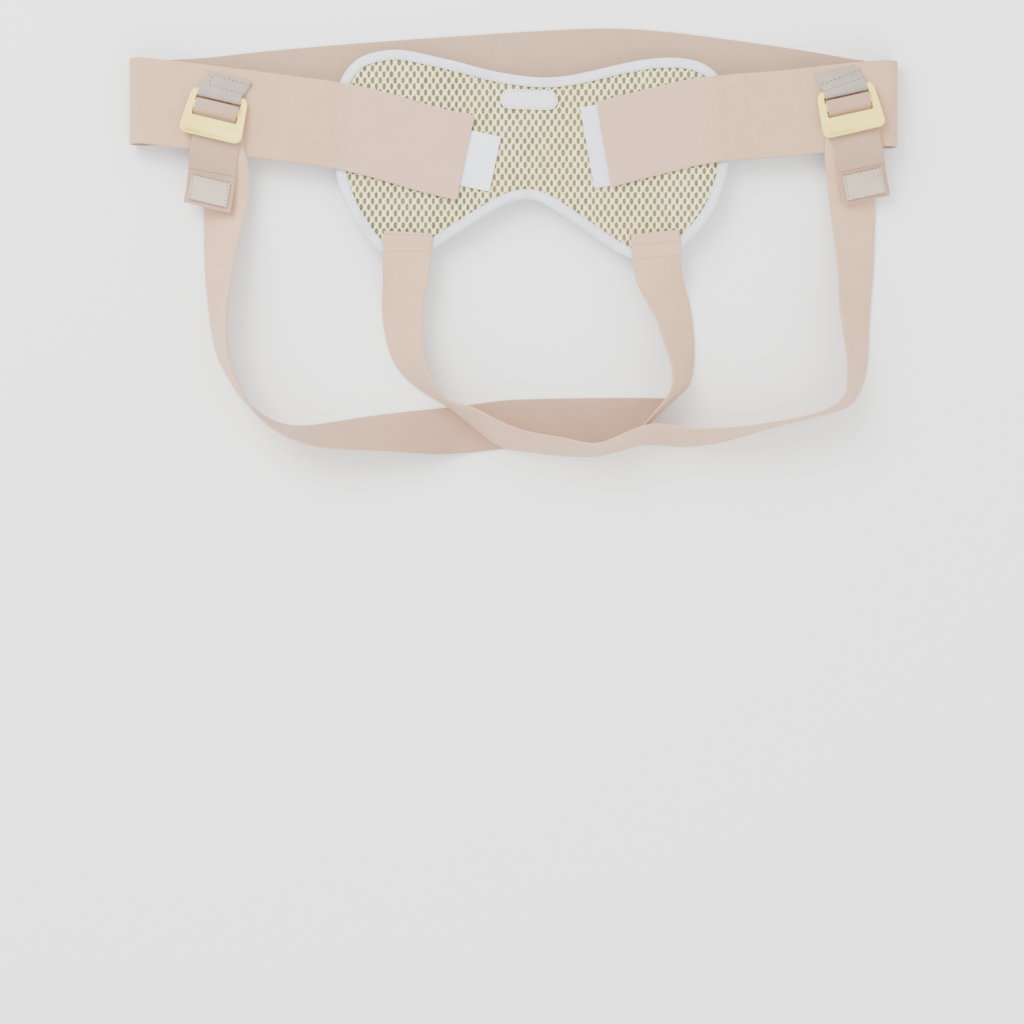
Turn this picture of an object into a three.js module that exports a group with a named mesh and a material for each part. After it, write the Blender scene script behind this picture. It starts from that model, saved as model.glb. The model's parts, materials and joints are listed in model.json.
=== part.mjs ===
// A hernia belt that lies flat on its back, front face up.
// X runs along the waist, Y from the leg straps towards the back of the waist band, and Z is up.
import * as THREE from "three";

// Driving dimensions, in millimetres
const clearance = 0.3;

const beltLength = 536; // over the two folds of the waist band
const beltDepth = 300; // from the back of the waist band to the lowest leg strap

const bandWidth = 60;
const bandThickness = 1.5;
const backBow = 23.5; // how far the back of the band bows above its folds
const frontDrop = 32; // how far its front ends sink below the folds
const leftEndReach = 45.9; // from the panel's middle to the band's left front end
const rightEndReach = 50; // and to its right front end

const strapWidth = 34;
const strapThickness = 1.6;

const panelLength = 278;
const panelHeight = 149;
const meshThickness = 2.4;
const liningThickness = 1;
const clothGap = 0.4; // between the mesh and its lining
const panelEdgeDrop = 1; // how far the panel's two ends sink under the band
const panelHemDrop = 1.9; // how far its upper and lower hems sink past the pads

const bindingWidth = 8;
const bindingThickness = 0.9;
const bindingSlack = 0.45; // room between the ribbon and the cloth that it wraps

const padSpacing = 165; // centre to centre
const padBaseLength = 105;
const padBaseWidth = 75;
const padBaseThickness = 2;
const padFaceLength = 93;
const padFaceWidth = 63;
const padFaceThickness = 8;

const labelLength = 40;
const labelHeight = 13.5;
const labelThickness = 0.6;

const tapeThickness = 1;
const tapeTuck = 10; // how far a hook tape reaches under the band's end
const leftTapeReach = 21;
const leftTapeWidth = 39;
const rightTapeReach = 11.5;
const rightTapeWidth = 57;

const buckleWidth = 44;
const buckleSideBar = 6.1;
const buckleThickness = 2.4;
const buckleTopBar = 4;
const buckleMiddleBar = 5;
const buckleBottomBar = 13;
const upperSlot = 4.9;
const lowerSlot = 5.2;
const buckleSlope = THREE.MathUtils.degToRad(8.4);
const strapRunIn = 33; // from the buckle's origin to where its strap lies level on the band

const loopWidth = 30;
const loopThickness = 0.8;
const loopLength = 18; // from the buckle's top bar to its sewn end

const freeEndLength = 47; // strap that shows past the buckle
const patchLength = 19;
const patchWidth = 28;
const patchThickness = 1;
const patchBorder = 2.5;

// Materials
const matt = (colour, roughness = 0.9) =>
  new THREE.MeshStandardMaterial({ color: colour, roughness, metalness: 0 });
const elastic = matt(0xdac6b6);
const spacerMesh = matt(0xccc2ad);
const whiteCloth = matt(0xe2e3e6);
const velour = matt(0x1c1310);
const greyRibbon = matt(0xc7c0b9);
const hookTape = matt(0xe0dfea, 0.7);
const plastic = matt(0xf0e2c0, 0.35);

const belt = new THREE.Group();

// Adds a named solid with its faces turned outwards.
function solid(name, geometry, material, holder = belt) {
  const flat = geometry.index ? geometry.toNonIndexed() : geometry;
  const shape = new THREE.BufferGeometry();
  shape.setAttribute("position", flat.getAttribute("position"));
  const p = shape.getAttribute("position");
  const [a, b, c] = [0, 1, 2].map(() => new THREE.Vector3());
  let volume = 0;
  for (let k = 0; k < p.count; k += 3) {
    a.fromBufferAttribute(p, k);
    b.fromBufferAttribute(p, k + 1);
    c.fromBufferAttribute(p, k + 2);
    volume += a.dot(b.cross(c));
  }
  if (volume < 0) {
    for (let k = 0; k < p.count; k += 3) {
      b.fromBufferAttribute(p, k + 1);
      c.fromBufferAttribute(p, k + 2);
      p.setXYZ(k + 1, c.x, c.y, c.z);
      p.setXYZ(k + 2, b.x, b.y, b.z);
    }
  }
  shape.computeVertexNormals();
  const mesh = new THREE.Mesh(shape, material);
  mesh.name = name;
  holder.add(mesh);
  return mesh;
}

// Moves every vertex of a geometry to the place that a function gives for it.
function reshape(geometry, place) {
  const p = geometry.getAttribute("position");
  const v = new THREE.Vector3();
  for (let k = 0; k < p.count; k++) {
    v.copy(place(v.fromBufferAttribute(p, k)));
    p.setXYZ(k, v.x, v.y, v.z);
  }
  return geometry;
}

// A skin through equal rings of points: a closed hoop, or a bar with flat ends.
function loft(rings, hoop = false) {
  const around = rings[0].length;
  const points = rings.flat();
  const faces = [];
  const spans = hoop ? rings.length : rings.length - 1;
  for (let k = 0; k < spans; k++) {
    for (let j = 0; j < around; j++) {
      const here = k * around;
      const next = ((k + 1) % rings.length) * around;
      const turn = (j + 1) % around;
      faces.push(here + j, next + j, next + turn, here + j, next + turn, here + turn);
    }
  }
  if (!hoop) {
    const last = (rings.length - 1) * around;
    for (let j = 1; j < around - 1; j++) {
      faces.push(0, j, j + 1, last, last + j + 1, last + j);
    }
  }
  const geometry = new THREE.BufferGeometry().setFromPoints(points);
  geometry.setIndex(faces);
  return geometry;
}

// A flat strip between two edge lines: its frames hold the middle, the way across and the way out.
function stripFrames(outer, inner) {
  const middles = outer.map((o, k) => o.clone().add(inner[k]).multiplyScalar(0.5));
  return middles.map((middle, k) => {
    const before = middles[Math.max(k - 1, 0)];
    const after = middles[Math.min(k + 1, middles.length - 1)];
    const heading = after.clone().sub(before).normalize();
    const across = inner[k].clone().sub(outer[k]);
    const width = across.length();
    across.divideScalar(width);
    const out = heading.clone().cross(across).normalize();
    return { middle, across, out, width };
  });
}

function strip(frames, thickness, lift = 0, narrower = 0) {
  return loft(
    frames.map(({ middle, across, out, width }) =>
      [[-1, 1], [1, 1], [1, -1], [-1, -1]].map(([side, face]) =>
        middle
          .clone()
          .addScaledVector(across, (side * (width - narrower)) / 2)
          .addScaledVector(out, lift + (face * thickness) / 2),
      ),
    ),
  );
}

// The value of a table's column at t, on a smooth line through its rows.
function tableValue(rows, t, column) {
  const last = rows.length - 1;
  const k = Math.min(Math.max(rows.findIndex((row) => row.t > t) - 1, 0), last - 1);
  const from = t >= rows[last].t ? last - 1 : k;
  const slope = (i) => {
    const [a, b] = [rows[Math.max(i - 1, 0)], rows[Math.min(i + 1, last)]];
    return (b[column] - a[column]) / (b.t - a.t);
  };
  const [a, b] = [rows[from], rows[from + 1]];
  const gap = b.t - a.t;
  const s = THREE.MathUtils.clamp((t - a.t) / gap, 0, 1);
  const ease = s * s * (3 - 2 * s);
  return (
    a[column] * (1 - ease) + b[column] * ease +
    gap * (slope(from) * s * (1 - s) ** 2 - slope(from + 1) * s * s * (1 - s))
  );
}

const named = (columns) => (row) =>
  Object.fromEntries(columns.map((column, k) => [column, row[k]]));
const smoothstep = (v, from, to) => THREE.MathUtils.smoothstep(v, from, to);

// Levels of the stack under the band's front ends, from the floor up
const backTop = bandThickness;
const padFaceBottom = backTop + clearance;
const padFaceTop = padFaceBottom + padFaceThickness;
const padBaseBottom = padFaceTop + clearance;
const padBaseTop = padBaseBottom + padBaseThickness;
const liningBottom = padBaseTop + clearance;
const meshTop = liningBottom + liningThickness + clothGap + meshThickness;
const panelMiddle = (liningBottom + meshTop) / 2;
const panelHalf = (meshTop - liningBottom) / 2;
const bindingInside = panelHalf + bindingSlack;
const bindingOutside = bindingInside + bindingThickness;

// Places in the laid-out belt, as thousandths of its length and depth
const alongBelt = (share) => (share / 1000) * beltLength;
const upBelt = (share) => (share / 1000) * beltDepth;
const panelX = alongBelt(23.5);
const panelY = upBelt(195);
const foldY = upBelt(321);

// The panel is level over the pads, and its ends and hems sink past them.
const padCentreY = panelY + 3.5;
const levelHalfLength = padSpacing / 2 + padBaseWidth / 2;
function panelLevel(x, y) {
  const end = smoothstep(Math.abs(x - panelX), levelHalfLength, panelLength / 2);
  const hem = smoothstep(Math.abs(y - padCentreY), padBaseLength / 2, panelHeight / 2 + 3);
  return panelMiddle - panelEdgeDrop * end - panelHemDrop * hem;
}

// The band crosses over the panel's binding, and sinks to the mesh between there and its end.
const bandBottom = panelMiddle + bindingOutside + clearance;
const bandSag = bandBottom - meshTop - clearance - 0.1;
const bandTop = bandBottom + bandThickness;

// Waist band: each front part from its fold (t 0) to its end (t 1), and the back from left to right
const frontColumns = ["t", "drop", "lean"];
const leftFront = [
  [0, -0.03, 0],
  [0.15, 0.1, 3],
  [0.36, 0.29, 6],
  [0.62, 0.54, 7],
  [0.74, 0.73, 9],
  [0.89, 1.05, 11],
  [1, 1.22, 12],
].map(named(frontColumns));
const rightFront = [
  [0, 0.03, 0],
  [0.11, 0.09, -3],
  [0.25, 0.19, -5],
  [0.39, 0.28, -5],
  [0.53, 0.34, -6],
  [0.67, 0.43, -8],
  [0.8, 0.62, -11],
  [0.91, 0.79, -12],
  [1, 0.94, -10],
].map(named(frontColumns));
const back = [
  [0, 0.04],
  [0.09, 0.1],
  [0.16, 0.28],
  [0.29, 0.54],
  [0.42, 0.75],
  [0.52, 0.9],
  [0.62, 1],
  [0.68, 0.94],
  [0.75, 0.76],
  [0.88, 0.34],
  [0.95, 0.06],
  [1, -0.05],
].map(named(["t", "rise"]));

const foldX = beltLength / 2 - bandThickness / 2;
const leftEndX = panelX - leftEndReach;
const rightEndX = panelX + rightEndReach;
const backLevel = bandThickness / 2;
const frontLevel = bandBottom + bandThickness / 2;
const foldRadius = (frontLevel - backLevel) / 2;

const backY = (x) => foldY + backBow * tableValue(back, (x + foldX) / (2 * foldX), "rise");

function frontPlace(side, t) {
  const rows = side < 0 ? leftFront : rightFront;
  const endX = side < 0 ? leftEndX : rightEndX;
  const start = side * (foldX - foldRadius);
  const x = start + (endX - start) * t;
  const y = foldY - frontDrop * tableValue(rows, t, "drop");
  const fromTape = Math.abs(endX - x) - tapeTuck;
  const fromBinding = panelLength / 2 - 3 * bindingWidth - Math.abs(x - panelX);
  const z = frontLevel - bandSag * smoothstep(fromTape, 3, 18) * smoothstep(fromBinding, 0, 15);
  const lean = THREE.MathUtils.degToRad(tableValue(rows, t, "lean"));
  return { middle: new THREE.Vector3(x, y, z), lean };
}

function waistBand() {
  const places = [];
  const frontSteps = 14;
  const foldSteps = 8;
  const backSteps = 24;
  const foldPlace = (side, angle) => ({
    middle: new THREE.Vector3(
      side * (foldX - foldRadius + foldRadius * Math.sin(angle)),
      frontPlace(side, 0).middle.y,
      backLevel + foldRadius * (1 - Math.cos(angle)),
    ),
    lean: 0,
  });
  for (let k = frontSteps; k > 0; k--) places.push(frontPlace(-1, k / frontSteps));
  for (let k = foldSteps; k >= 0; k--) places.push(foldPlace(-1, (Math.PI * k) / foldSteps));
  for (let k = 1; k < backSteps; k++) {
    const x = (foldX - foldRadius) * ((2 * k) / backSteps - 1);
    places.push({ middle: new THREE.Vector3(x, backY(x), backLevel), lean: 0 });
  }
  for (let k = 0; k <= foldSteps; k++) places.push(foldPlace(1, (Math.PI * k) / foldSteps));
  for (let k = 1; k <= frontSteps; k++) places.push(frontPlace(1, k / frontSteps));
  const edge = (side) =>
    places.map(({ middle, lean }) =>
      middle
        .clone()
        .add(
          new THREE.Vector3(Math.sin(lean), Math.cos(lean), 0).multiplyScalar(
            (side * bandWidth) / 2,
          ),
        ),
    );
  solid("waist_band", strip(stripFrames(edge(-1), edge(1)), bandThickness), elastic);
}

// Hook tapes: flat strips that start under the band's end and reach past it
function hookTapes() {
  for (const [name, side, reach, width] of [
    ["band_hook_tape_left", -1, leftTapeReach, leftTapeWidth],
    ["band_hook_tape_right", 1, rightTapeReach, rightTapeWidth],
  ]) {
    const { middle, lean } = frontPlace(side, 1);
    const tape = solid(
      name,
      new THREE.BoxGeometry(tapeTuck + reach, width, tapeThickness),
      hookTape,
    );
    tape.rotation.z = -lean;
    const shift = new THREE.Vector3((-side * (reach - tapeTuck)) / 2, 0, 0);
    shift.applyAxisAngle(new THREE.Vector3(0, 0, 1), -lean);
    const level = meshTop + clearance + tapeThickness / 2;
    tape.position.set(middle.x + shift.x, middle.y + shift.y, level);
  }
}

// The panel's outline, as shares of half its length and of its height from its centre
const upperOutline = [
  [-0.995, 0.218],
  [-0.985, 0.275],
  [-0.95, 0.369],
  [-0.914, 0.42],
  [-0.864, 0.462],
  [-0.788, 0.486],
  [-0.662, 0.5],
  [-0.511, 0.472],
  [-0.36, 0.439],
  [-0.209, 0.401],
  [-0.058, 0.376],
  [0.068, 0.367],
  [0.194, 0.377],
  [0.345, 0.408],
  [0.496, 0.441],
  [0.622, 0.458],
  [0.748, 0.46],
  [0.849, 0.439],
  [0.904, 0.408],
  [0.95, 0.359],
  [0.985, 0.284],
  [0.995, 0.218],
].map(named(["x", "y"]));
const lowerOutline = [
  [-0.995, 0.049],
  [-0.985, -0.049],
  [-0.96, -0.148],
  [-0.914, -0.251],
  [-0.864, -0.336],
  [-0.814, -0.397],
  [-0.748, -0.458],
  [-0.678, -0.486],
  [-0.602, -0.481],
  [-0.506, -0.439],
  [-0.411, -0.383],
  [-0.259, -0.293],
  [-0.134, -0.223],
  [-0.048, -0.197],
  [0.028, -0.2],
  [0.093, -0.237],
  [0.219, -0.315],
  [0.37, -0.413],
  [0.496, -0.479],
  [0.587, -0.5],
  [0.673, -0.479],
  [0.748, -0.43],
  [0.824, -0.364],
  [0.899, -0.275],
  [0.95, -0.171],
  [0.985, -0.045],
  [0.995, 0.049],
].map(named(["x", "y"]));
const panelColumns = 38;

function outlinePoints(rows) {
  const places = rows.map(
    ({ x, y }) => new THREE.Vector2(panelX + (x * panelLength) / 2, panelY + y * panelHeight),
  );
  return new THREE.SplineCurve(places).getSpacedPoints(panelColumns);
}

// The closed outline runs along the top to the right and back along the bottom.
const outline = [...outlinePoints(upperOutline), ...outlinePoints(lowerOutline).reverse()];
const inward = outline.map((point, k) => {
  const before = outline[(k + outline.length - 1) % outline.length];
  const after = outline[(k + 1) % outline.length];
  const first = point.clone().sub(before).normalize();
  const second = after.clone().sub(point).normalize();
  const normal = new THREE.Vector2(first.y + second.y, -first.x - second.x).normalize();
  return normal.divideScalar(Math.max(normal.dot(new THREE.Vector2(first.y, -first.x)), 0.7));
});
const insetPoint = (k, distance) => outline[k].clone().addScaledVector(inward[k], distance);

// A sheet of the panel, from one height to another above its middle surface
const panelRows = [0, 0.045, 0.09, 0.15, 0.3, 0.5, 0.7, 0.85, 0.91, 0.955, 1];
function panelSheet(from, to) {
  const rows = panelRows.length - 1;
  const inset = bindingThickness + clearance;
  return reshape(new THREE.BoxGeometry(1, 1, 1, panelColumns, rows, 1), (v) => {
    const column = Math.round((v.x + 0.5) * panelColumns);
    const share = panelRows[Math.round((v.y + 0.5) * rows)];
    const top = insetPoint(column, inset);
    const bottom = insetPoint(outline.length - 1 - column, inset);
    const { x, y } = bottom.lerp(top, share);
    return new THREE.Vector3(x, y, panelLevel(x, y) + (v.z < 0 ? from : to));
  });
}

function panel() {
  solid("panel_lining", panelSheet(-panelHalf, -panelHalf + liningThickness), whiteCloth);
  solid("panel_mesh", panelSheet(panelHalf - meshThickness, panelHalf), spacerMesh);
  const section = [
    [bindingWidth, bindingOutside],
    [bindingThickness, bindingOutside],
    [0, bindingInside],
    [0, -bindingInside],
    [bindingThickness, -bindingOutside],
    [bindingWidth, -bindingOutside],
    [bindingWidth, -bindingInside],
    [bindingThickness, -bindingInside],
    [bindingThickness, bindingInside],
    [bindingWidth, bindingInside],
  ].map(named(["inset", "height"]));
  const rings = outline.map((_, k) =>
    section.map(({ inset, height }) => {
      const { x, y } = insetPoint(k, inset);
      return new THREE.Vector3(x, y, panelLevel(x, y) + height);
    }),
  );
  solid("panel_binding", loft(rings, true), whiteCloth);
}

function label() {
  const flat = (labelLength - labelHeight) / 2;
  const pill = new THREE.Shape()
    .moveTo(-flat, -labelHeight / 2)
    .lineTo(flat, -labelHeight / 2)
    .absarc(flat, 0, labelHeight / 2, -Math.PI / 2, Math.PI / 2)
    .lineTo(-flat, labelHeight / 2)
    .absarc(-flat, 0, labelHeight / 2, Math.PI / 2, (3 * Math.PI) / 2);
  const geometry = new THREE.ExtrudeGeometry(pill, {
    depth: labelThickness,
    bevelEnabled: false,
    curveSegments: 8,
  });
  const patch = solid("label_patch", geometry, whiteCloth);
  patch.rotation.z = THREE.MathUtils.degToRad(-2);
  patch.position.set(
    panelX - 0.013 * (panelLength / 2),
    panelY + 0.264 * panelHeight,
    meshTop + clearance,
  );
}

// Pads: a rounded plate or cushion that narrows towards its lower end
function padShape(x, width, length, bottomAt, top, boxiness, narrowing) {
  const outer = Math.sign(x - panelX);
  return reshape(new THREE.SphereGeometry(1, 28, 8), (v) => {
    const angle = Math.atan2(v.z, v.x);
    const reach = Math.hypot(v.x, v.z) ** (1 / boxiness);
    const round = (c) => Math.sign(c) * Math.abs(c) ** 0.6;
    const up = round(Math.sin(angle)) * reach;
    const taper = 1 - narrowing * smoothstep(-up, -0.4, 1.4);
    const side = (round(Math.cos(angle)) * reach * taper * width) / 2;
    const keepOuter = (outer * (1 - taper) * width) / 4;
    const place = new THREE.Vector3(x + side + keepOuter, padCentreY + (up * length) / 2, 0);
    const share = (Math.sign(v.y) * Math.abs(v.y) ** (1 / boxiness) + 1) / 2;
    const bottom = bottomAt(place);
    place.z = bottom + (top - bottom) * share;
    return place;
  });
}

// A pad's face rests on the back of the band, and lower down it swells to the floor.
const padReach = 22; // how far past the band the face stays level
const padSwell = 16;
function padFaceUnderside({ x, y }) {
  const bandEdge = backY(x) - bandWidth / 2;
  return padFaceBottom * smoothstep(y, bandEdge - padReach - padSwell, bandEdge - padReach);
}

function pads() {
  for (const [name, side] of [["left", -1], ["right", 1]]) {
    const x = panelX + (side * padSpacing) / 2;
    solid(
      `pad_base_${name}`,
      padShape(x, padBaseWidth, padBaseLength, () => padBaseBottom, padBaseTop, 4, 0.16),
      whiteCloth,
    );
    solid(
      `pad_face_${name}`,
      padShape(x, padFaceWidth, padFaceLength, padFaceUnderside, padFaceTop, 2.4, 0.2),
      velour,
    );
  }
}

// Buckles: each stands on the band's front with its bars turned about Z
const buckles = {
  left: { x: alongBelt(-384), y: upBelt(302), turn: -13.4, skew: 6.5 },
  right: { x: alongBelt(433), y: upBelt(315), turn: 12.6, skew: -4.8 },
};
const topBarY = buckleMiddleBar / 2 + upperSlot + buckleTopBar / 2;
const topBarLevel = 2 * clearance + loopThickness + buckleThickness / 2 + 0.5;
const middleBarLevel = topBarLevel + topBarY * Math.tan(buckleSlope);

function roundedBox(left, bottom, right, top, radius) {
  return new THREE.Shape()
    .moveTo(left + radius, bottom)
    .lineTo(right - radius, bottom)
    .quadraticCurveTo(right, bottom, right, bottom + radius)
    .lineTo(right, top - radius)
    .quadraticCurveTo(right, top, right - radius, top)
    .lineTo(left + radius, top)
    .quadraticCurveTo(left, top, left, top - radius)
    .lineTo(left, bottom + radius)
    .quadraticCurveTo(left, bottom, left + radius, bottom);
}

function buckleHolder(side) {
  const holder = new THREE.Group();
  holder.position.set(buckles[side].x, buckles[side].y, bandTop);
  holder.rotation.z = THREE.MathUtils.degToRad(buckles[side].turn);
  belt.add(holder);
  return holder;
}

function buckle(side, holder) {
  const half = buckleWidth / 2;
  const slotHalf = half - buckleSideBar;
  const middle = buckleMiddleBar / 2;
  const frame = roundedBox(
    -half,
    -middle - lowerSlot - buckleBottomBar,
    half,
    middle + upperSlot + buckleTopBar,
    5,
  );
  frame.holes.push(roundedBox(-slotHalf, middle, slotHalf, middle + upperSlot, 1.2));
  frame.holes.push(roundedBox(-slotHalf, -middle - lowerSlot, slotHalf, -middle, 1.2));
  const bevel = 0.5;
  const geometry = new THREE.ExtrudeGeometry(frame, {
    depth: buckleThickness - 2 * bevel,
    bevelThickness: bevel,
    bevelSize: bevel,
    bevelOffset: -bevel,
    bevelSegments: 2,
    curveSegments: 4,
  }).translate(0, 0, -buckleThickness / 2 + bevel);
  const mesh = solid(`buckle_${side}`, geometry, plastic, holder);
  mesh.rotation.x = -buckleSlope;
  mesh.position.z = middleBarLevel;
}

// The ribbon loop holds the top bar in an eye, and its two layers are sewn down behind it.
function buckleLoop(side, holder) {
  const eyeHalf = buckleTopBar / 2 + clearance + 0.3;
  const eyeTop = topBarLevel + buckleThickness / 2 + clearance + 0.4;
  const eyeBottom = clearance + loopThickness;
  const front = topBarY - eyeHalf - loopThickness;
  const rear = topBarY + eyeHalf;
  const sewnEnd = front + loopLength;
  const sewnTop = clearance + 2 * loopThickness + 0.4;
  const profile = new THREE.Shape()
    .moveTo(sewnEnd, clearance)
    .lineTo(sewnEnd, sewnTop)
    .lineTo(rear + 4, sewnTop + 0.3)
    .lineTo(rear, eyeTop + loopThickness - 0.4)
    .lineTo(topBarY - 1, eyeTop + loopThickness)
    .lineTo(front + 0.6, eyeTop)
    .lineTo(front, topBarLevel)
    .lineTo(front + 0.6, clearance + 0.7)
    .lineTo(front + 1.8, clearance)
    .closePath();
  const eye = new THREE.Path()
    .moveTo(topBarY - eyeHalf, eyeBottom + 0.4)
    .lineTo(topBarY - eyeHalf, eyeTop - 0.3)
    .lineTo(topBarY - 1, eyeTop)
    .lineTo(rear, eyeTop - 0.5)
    .lineTo(rear + 1.6, eyeBottom + 0.7)
    .lineTo(rear, eyeBottom)
    .lineTo(topBarY - 1, eyeBottom)
    .closePath();
  profile.holes.push(eye);
  const geometry = new THREE.ExtrudeGeometry(profile, { depth: loopWidth, bevelEnabled: false });
  const skew = buckles[side].skew / (sewnEnd - front);
  reshape(geometry, (v) => {
    const [y, z, across] = [v.x, v.y, v.z - loopWidth / 2];
    return new THREE.Vector3(across + skew * Math.max(y - topBarY - eyeHalf, 0), y, z);
  });
  solid(`buckle_loop_${side}`, geometry, greyRibbon, holder);
}

// Leg straps
// A row gives a place on the strap as thousandths of the belt's length and depth; the edge that lies there
// (-1 outer, 0 middle, 1 inner); its height as a share of the seat's height, plus a number of strap
// thicknesses; the way from the outer to the inner edge in plan and how steeply it rises, in degrees; and
// how much longer than the strap's width that way is, where the strap folds askew.
const strapColumns = ["along", "up", "edge", "raise", "over", "turn", "rise", "span"];
const leftStrap = [
  [-137, 19, 0, 1, 0, -3, 0, 1],
  [-138, -18, 0, 0.965, 0, 2, 0, 1],
  [-139, -48, 0, 0.89, 0, 4, 0, 1],
  [-170, -90, -1, 0.5, 0, 1, 19, 1],
  [-172, -144, -1, 0.1, 0, 4, 30, 1],
  [-169, -207, -1, 0, 0, 9, 36, 1],
  [-158, -276, -1, 0, 0, 21, 48, 1],
  [-139, -320, -1, 0, 0, 28, 62, 1],
  [-117, -350, -1, 0, 0.6, 35, 75, 1],
  [-87, -381, -1, 0, 1.3, 61, 86, 1],
  [-65, -412, -1, 0, 1.6, 64, 75, 1],
  [-42, -445, -1, 0, 1.6, 62, 69, 1],
  [-16, -479, -1, 0, 1.4, 71, 63, 1],
  [23, -489, -1, 0, 0.2, 83, 69, 1],
  [61, -497, -1, 0, 0, 83, 70, 1],
  [103, -500, -1, 0, 0, 90, 77, 1],
  [134, -489, -1, 0, 0, 110, 75, 1],
  [161, -474, -1, 0, 0, 101, 71, 1],
  [186, -471, -1, 0, 0, 88, 66, 1],
  [220, -477, -1, 0, 0, 90, 70, 1],
  [270, -467, -1, 0, 0, 96, 75, 1],
  [320, -441, -1, 0, 0, 101, 84, 1],
  [375, -416, -1, 0, 0, 104, 88, 1],
  [408, -402, -1, 0, 0, 112, 86, 1],
  [439, -384, -1, 0, 0, 136, 76, 1],
  [453, -351, -1, 0, 0, 152, 67, 1],
  [462, -293, -1, 0, 0, 166, 60, 1],
  [464, -228, -1, 0, 0, 177, 54, 1],
  [466, -160, -1, 0, 0, 180, 46, 1],
  [470, -90, -1, 0, 0, 180, 40, 1],
  [472, -10, -1, 0, 0, 180, 30, 1],
  [474, 60, -1, 0.03, 0, 181, 16, 1],
  [441, 124, 0, 0.52, 0, 183, 4, 1],
  [437, 178, 0, 1, 0, 185, 0, 1],
].map(named(strapColumns));
const rightStrap = [
  [184, 4, 0, 1, 0, 186, 0, 1],
  [185, -25, 0, 0.96, 0, 185, 0, 1],
  [186, -55, 0, 0.905, 0, 184, 0, 1],
  [220, -95, -1, 0.5, 0, 186, 15, 1],
  [227, -135, -1, 0.12, 0, 189, 29, 1],
  [232, -172, -1, 0, 0, 192, 41, 1],
  [235, -218, -1, 0, 0, 193, 47, 1],
  [236, -269, -1, 0, 0, 188, 56, 1],
  [234, -307, -1, 0, 0, 190, 63, 1],
  [231, -328, -1, 0, 0, 197, 65, 1],
  [228, -339, -1, 0, 0, 209, 58, 0.99],
  [222, -351, -1, 0, 0, 215, 45, 0.96],
  [215, -360, -1, 0, 0, 221, 25, 1.05],
  [148, -474, 1, 0, 0, 225, 0, 1.36],
  [129, -479, 1, 0, 0, 232, 0, 1.28],
  [90, -480, 1, 0, 0, 258, 0, 1.04],
  [8, -481, 1, 0, 0, 269, 0, 1],
  [-18, -484, 1, 0, 0, 270, 0, 1],
  [-44, -489, 1, 0, 0, 268, 0, 1],
  [-83, -386, -1, 0, 0, 272, 6, 0.97],
  [-122, -393, -1, 0, 0, 274, 25, 1],
  [-161, -401, -1, 0, 0, 274, 38, 1],
  [-207, -412, -1, 0, 0, 273, 49, 1],
  [-253, -426, -1, 0, 0, 274, 61, 1],
  [-284, -430, -1, 0, 0, 260, 74, 1],
  [-309, -422, -1, 0, 0, 232, 83, 1],
  [-336, -395, -1, 0, 0, 225, 90, 1],
  [-357, -360, -1, 0, 0, 30, 83, 1],
  [-375, -307, -1, 0, 0, 25, 78, 1],
  [-389, -256, -1, 0, 0, 18, 72, 1],
  [-399, -141, -1, 0, 0, 5, 61, 1],
  [-402, -88, -1, 0, 0, 2, 53, 1],
  [-404, 0, -1, 0, 0, 0, 40, 1],
  [-404, 70, -1, 0.02, 0, 0, 24, 1],
  [-404, 120, -1, 0.4, 0, 0, 8, 1],
  [-376, 180, 0, 1, 0, -3, 0, 1],
].map(named(strapColumns));

// The strap's stretch at the buckle, in the buckle's own frame: it comes in under the bars, turns up round
// the middle bar, goes down through the lower slot and lies on itself. Y falls away from the loop.
const layer = strapThickness + clearance;
const loadLevel = clearance + strapThickness / 2;
const returnLevel = loadLevel + layer;
const wrapOut = buckleMiddleBar / 2 + 2 * clearance + strapThickness / 2;
const wrapTop = middleBarLevel + buckleThickness / 2 + clearance + strapThickness / 2;
const squeezed = (buckleWidth - 2 * buckleSideBar - 5 * clearance) / strapWidth;
const bottomBarEnd = buckleMiddleBar / 2 + lowerSlot + buckleBottomBar;
const buckleColumns = ["shift", "y", "z", "width"];
const buckleRows = [
  [0.6, -22, loadLevel, 1],
  [0.35, -12, loadLevel, 1],
  [0.12, -5, loadLevel, 1],
  [0, -0.5, loadLevel + 0.3, 0.96],
  [0, wrapOut * 0.75, loadLevel + 1.3, squeezed],
  [0, wrapOut, middleBarLevel - 0.2, squeezed],
  [0, wrapOut, middleBarLevel + 1.2, squeezed],
  [0, wrapOut * 0.7, wrapTop - 0.1, squeezed],
  [0, 0, wrapTop + 0.4, squeezed],
  [0, -wrapOut * 0.65, wrapTop + 0.6, squeezed],
  [0, -wrapOut * 1.1, wrapTop - 0.2, squeezed],
  [0, -wrapOut * 1.4, returnLevel + 1.5, squeezed],
  [0.03, -wrapOut * 1.75, returnLevel + 0.4, squeezed],
  [0.1, -wrapOut * 2.4, returnLevel, squeezed],
  [0.2, -wrapOut * 3.6, returnLevel, 1],
].map(named(buckleColumns));
// Where the strap lies across the buckle: the side shifts of the strap that comes in and of its free end
const strapShifts = {
  left: { load: 12.5, freeStart: 4.5, freeEnd: 8.6 },
  right: { load: -6.8, freeStart: 0, freeEnd: -0.5 },
};

function strapRow(row, seat) {
  const turn = THREE.MathUtils.degToRad(row.turn);
  const rise = THREE.MathUtils.degToRad(row.rise);
  const across = new THREE.Vector3(
    Math.cos(rise) * Math.cos(turn),
    Math.cos(rise) * Math.sin(turn),
    Math.sin(rise),
  ).multiplyScalar(strapWidth * row.span);
  const level = row.raise * seat + row.over * layer + (strapThickness / 2) * Math.cos(rise);
  const held = new THREE.Vector3(alongBelt(row.along), upBelt(row.up), level);
  const outer = held.addScaledVector(across, -(row.edge + 1) / 2);
  return { outer, inner: outer.clone().add(across) };
}

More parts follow.
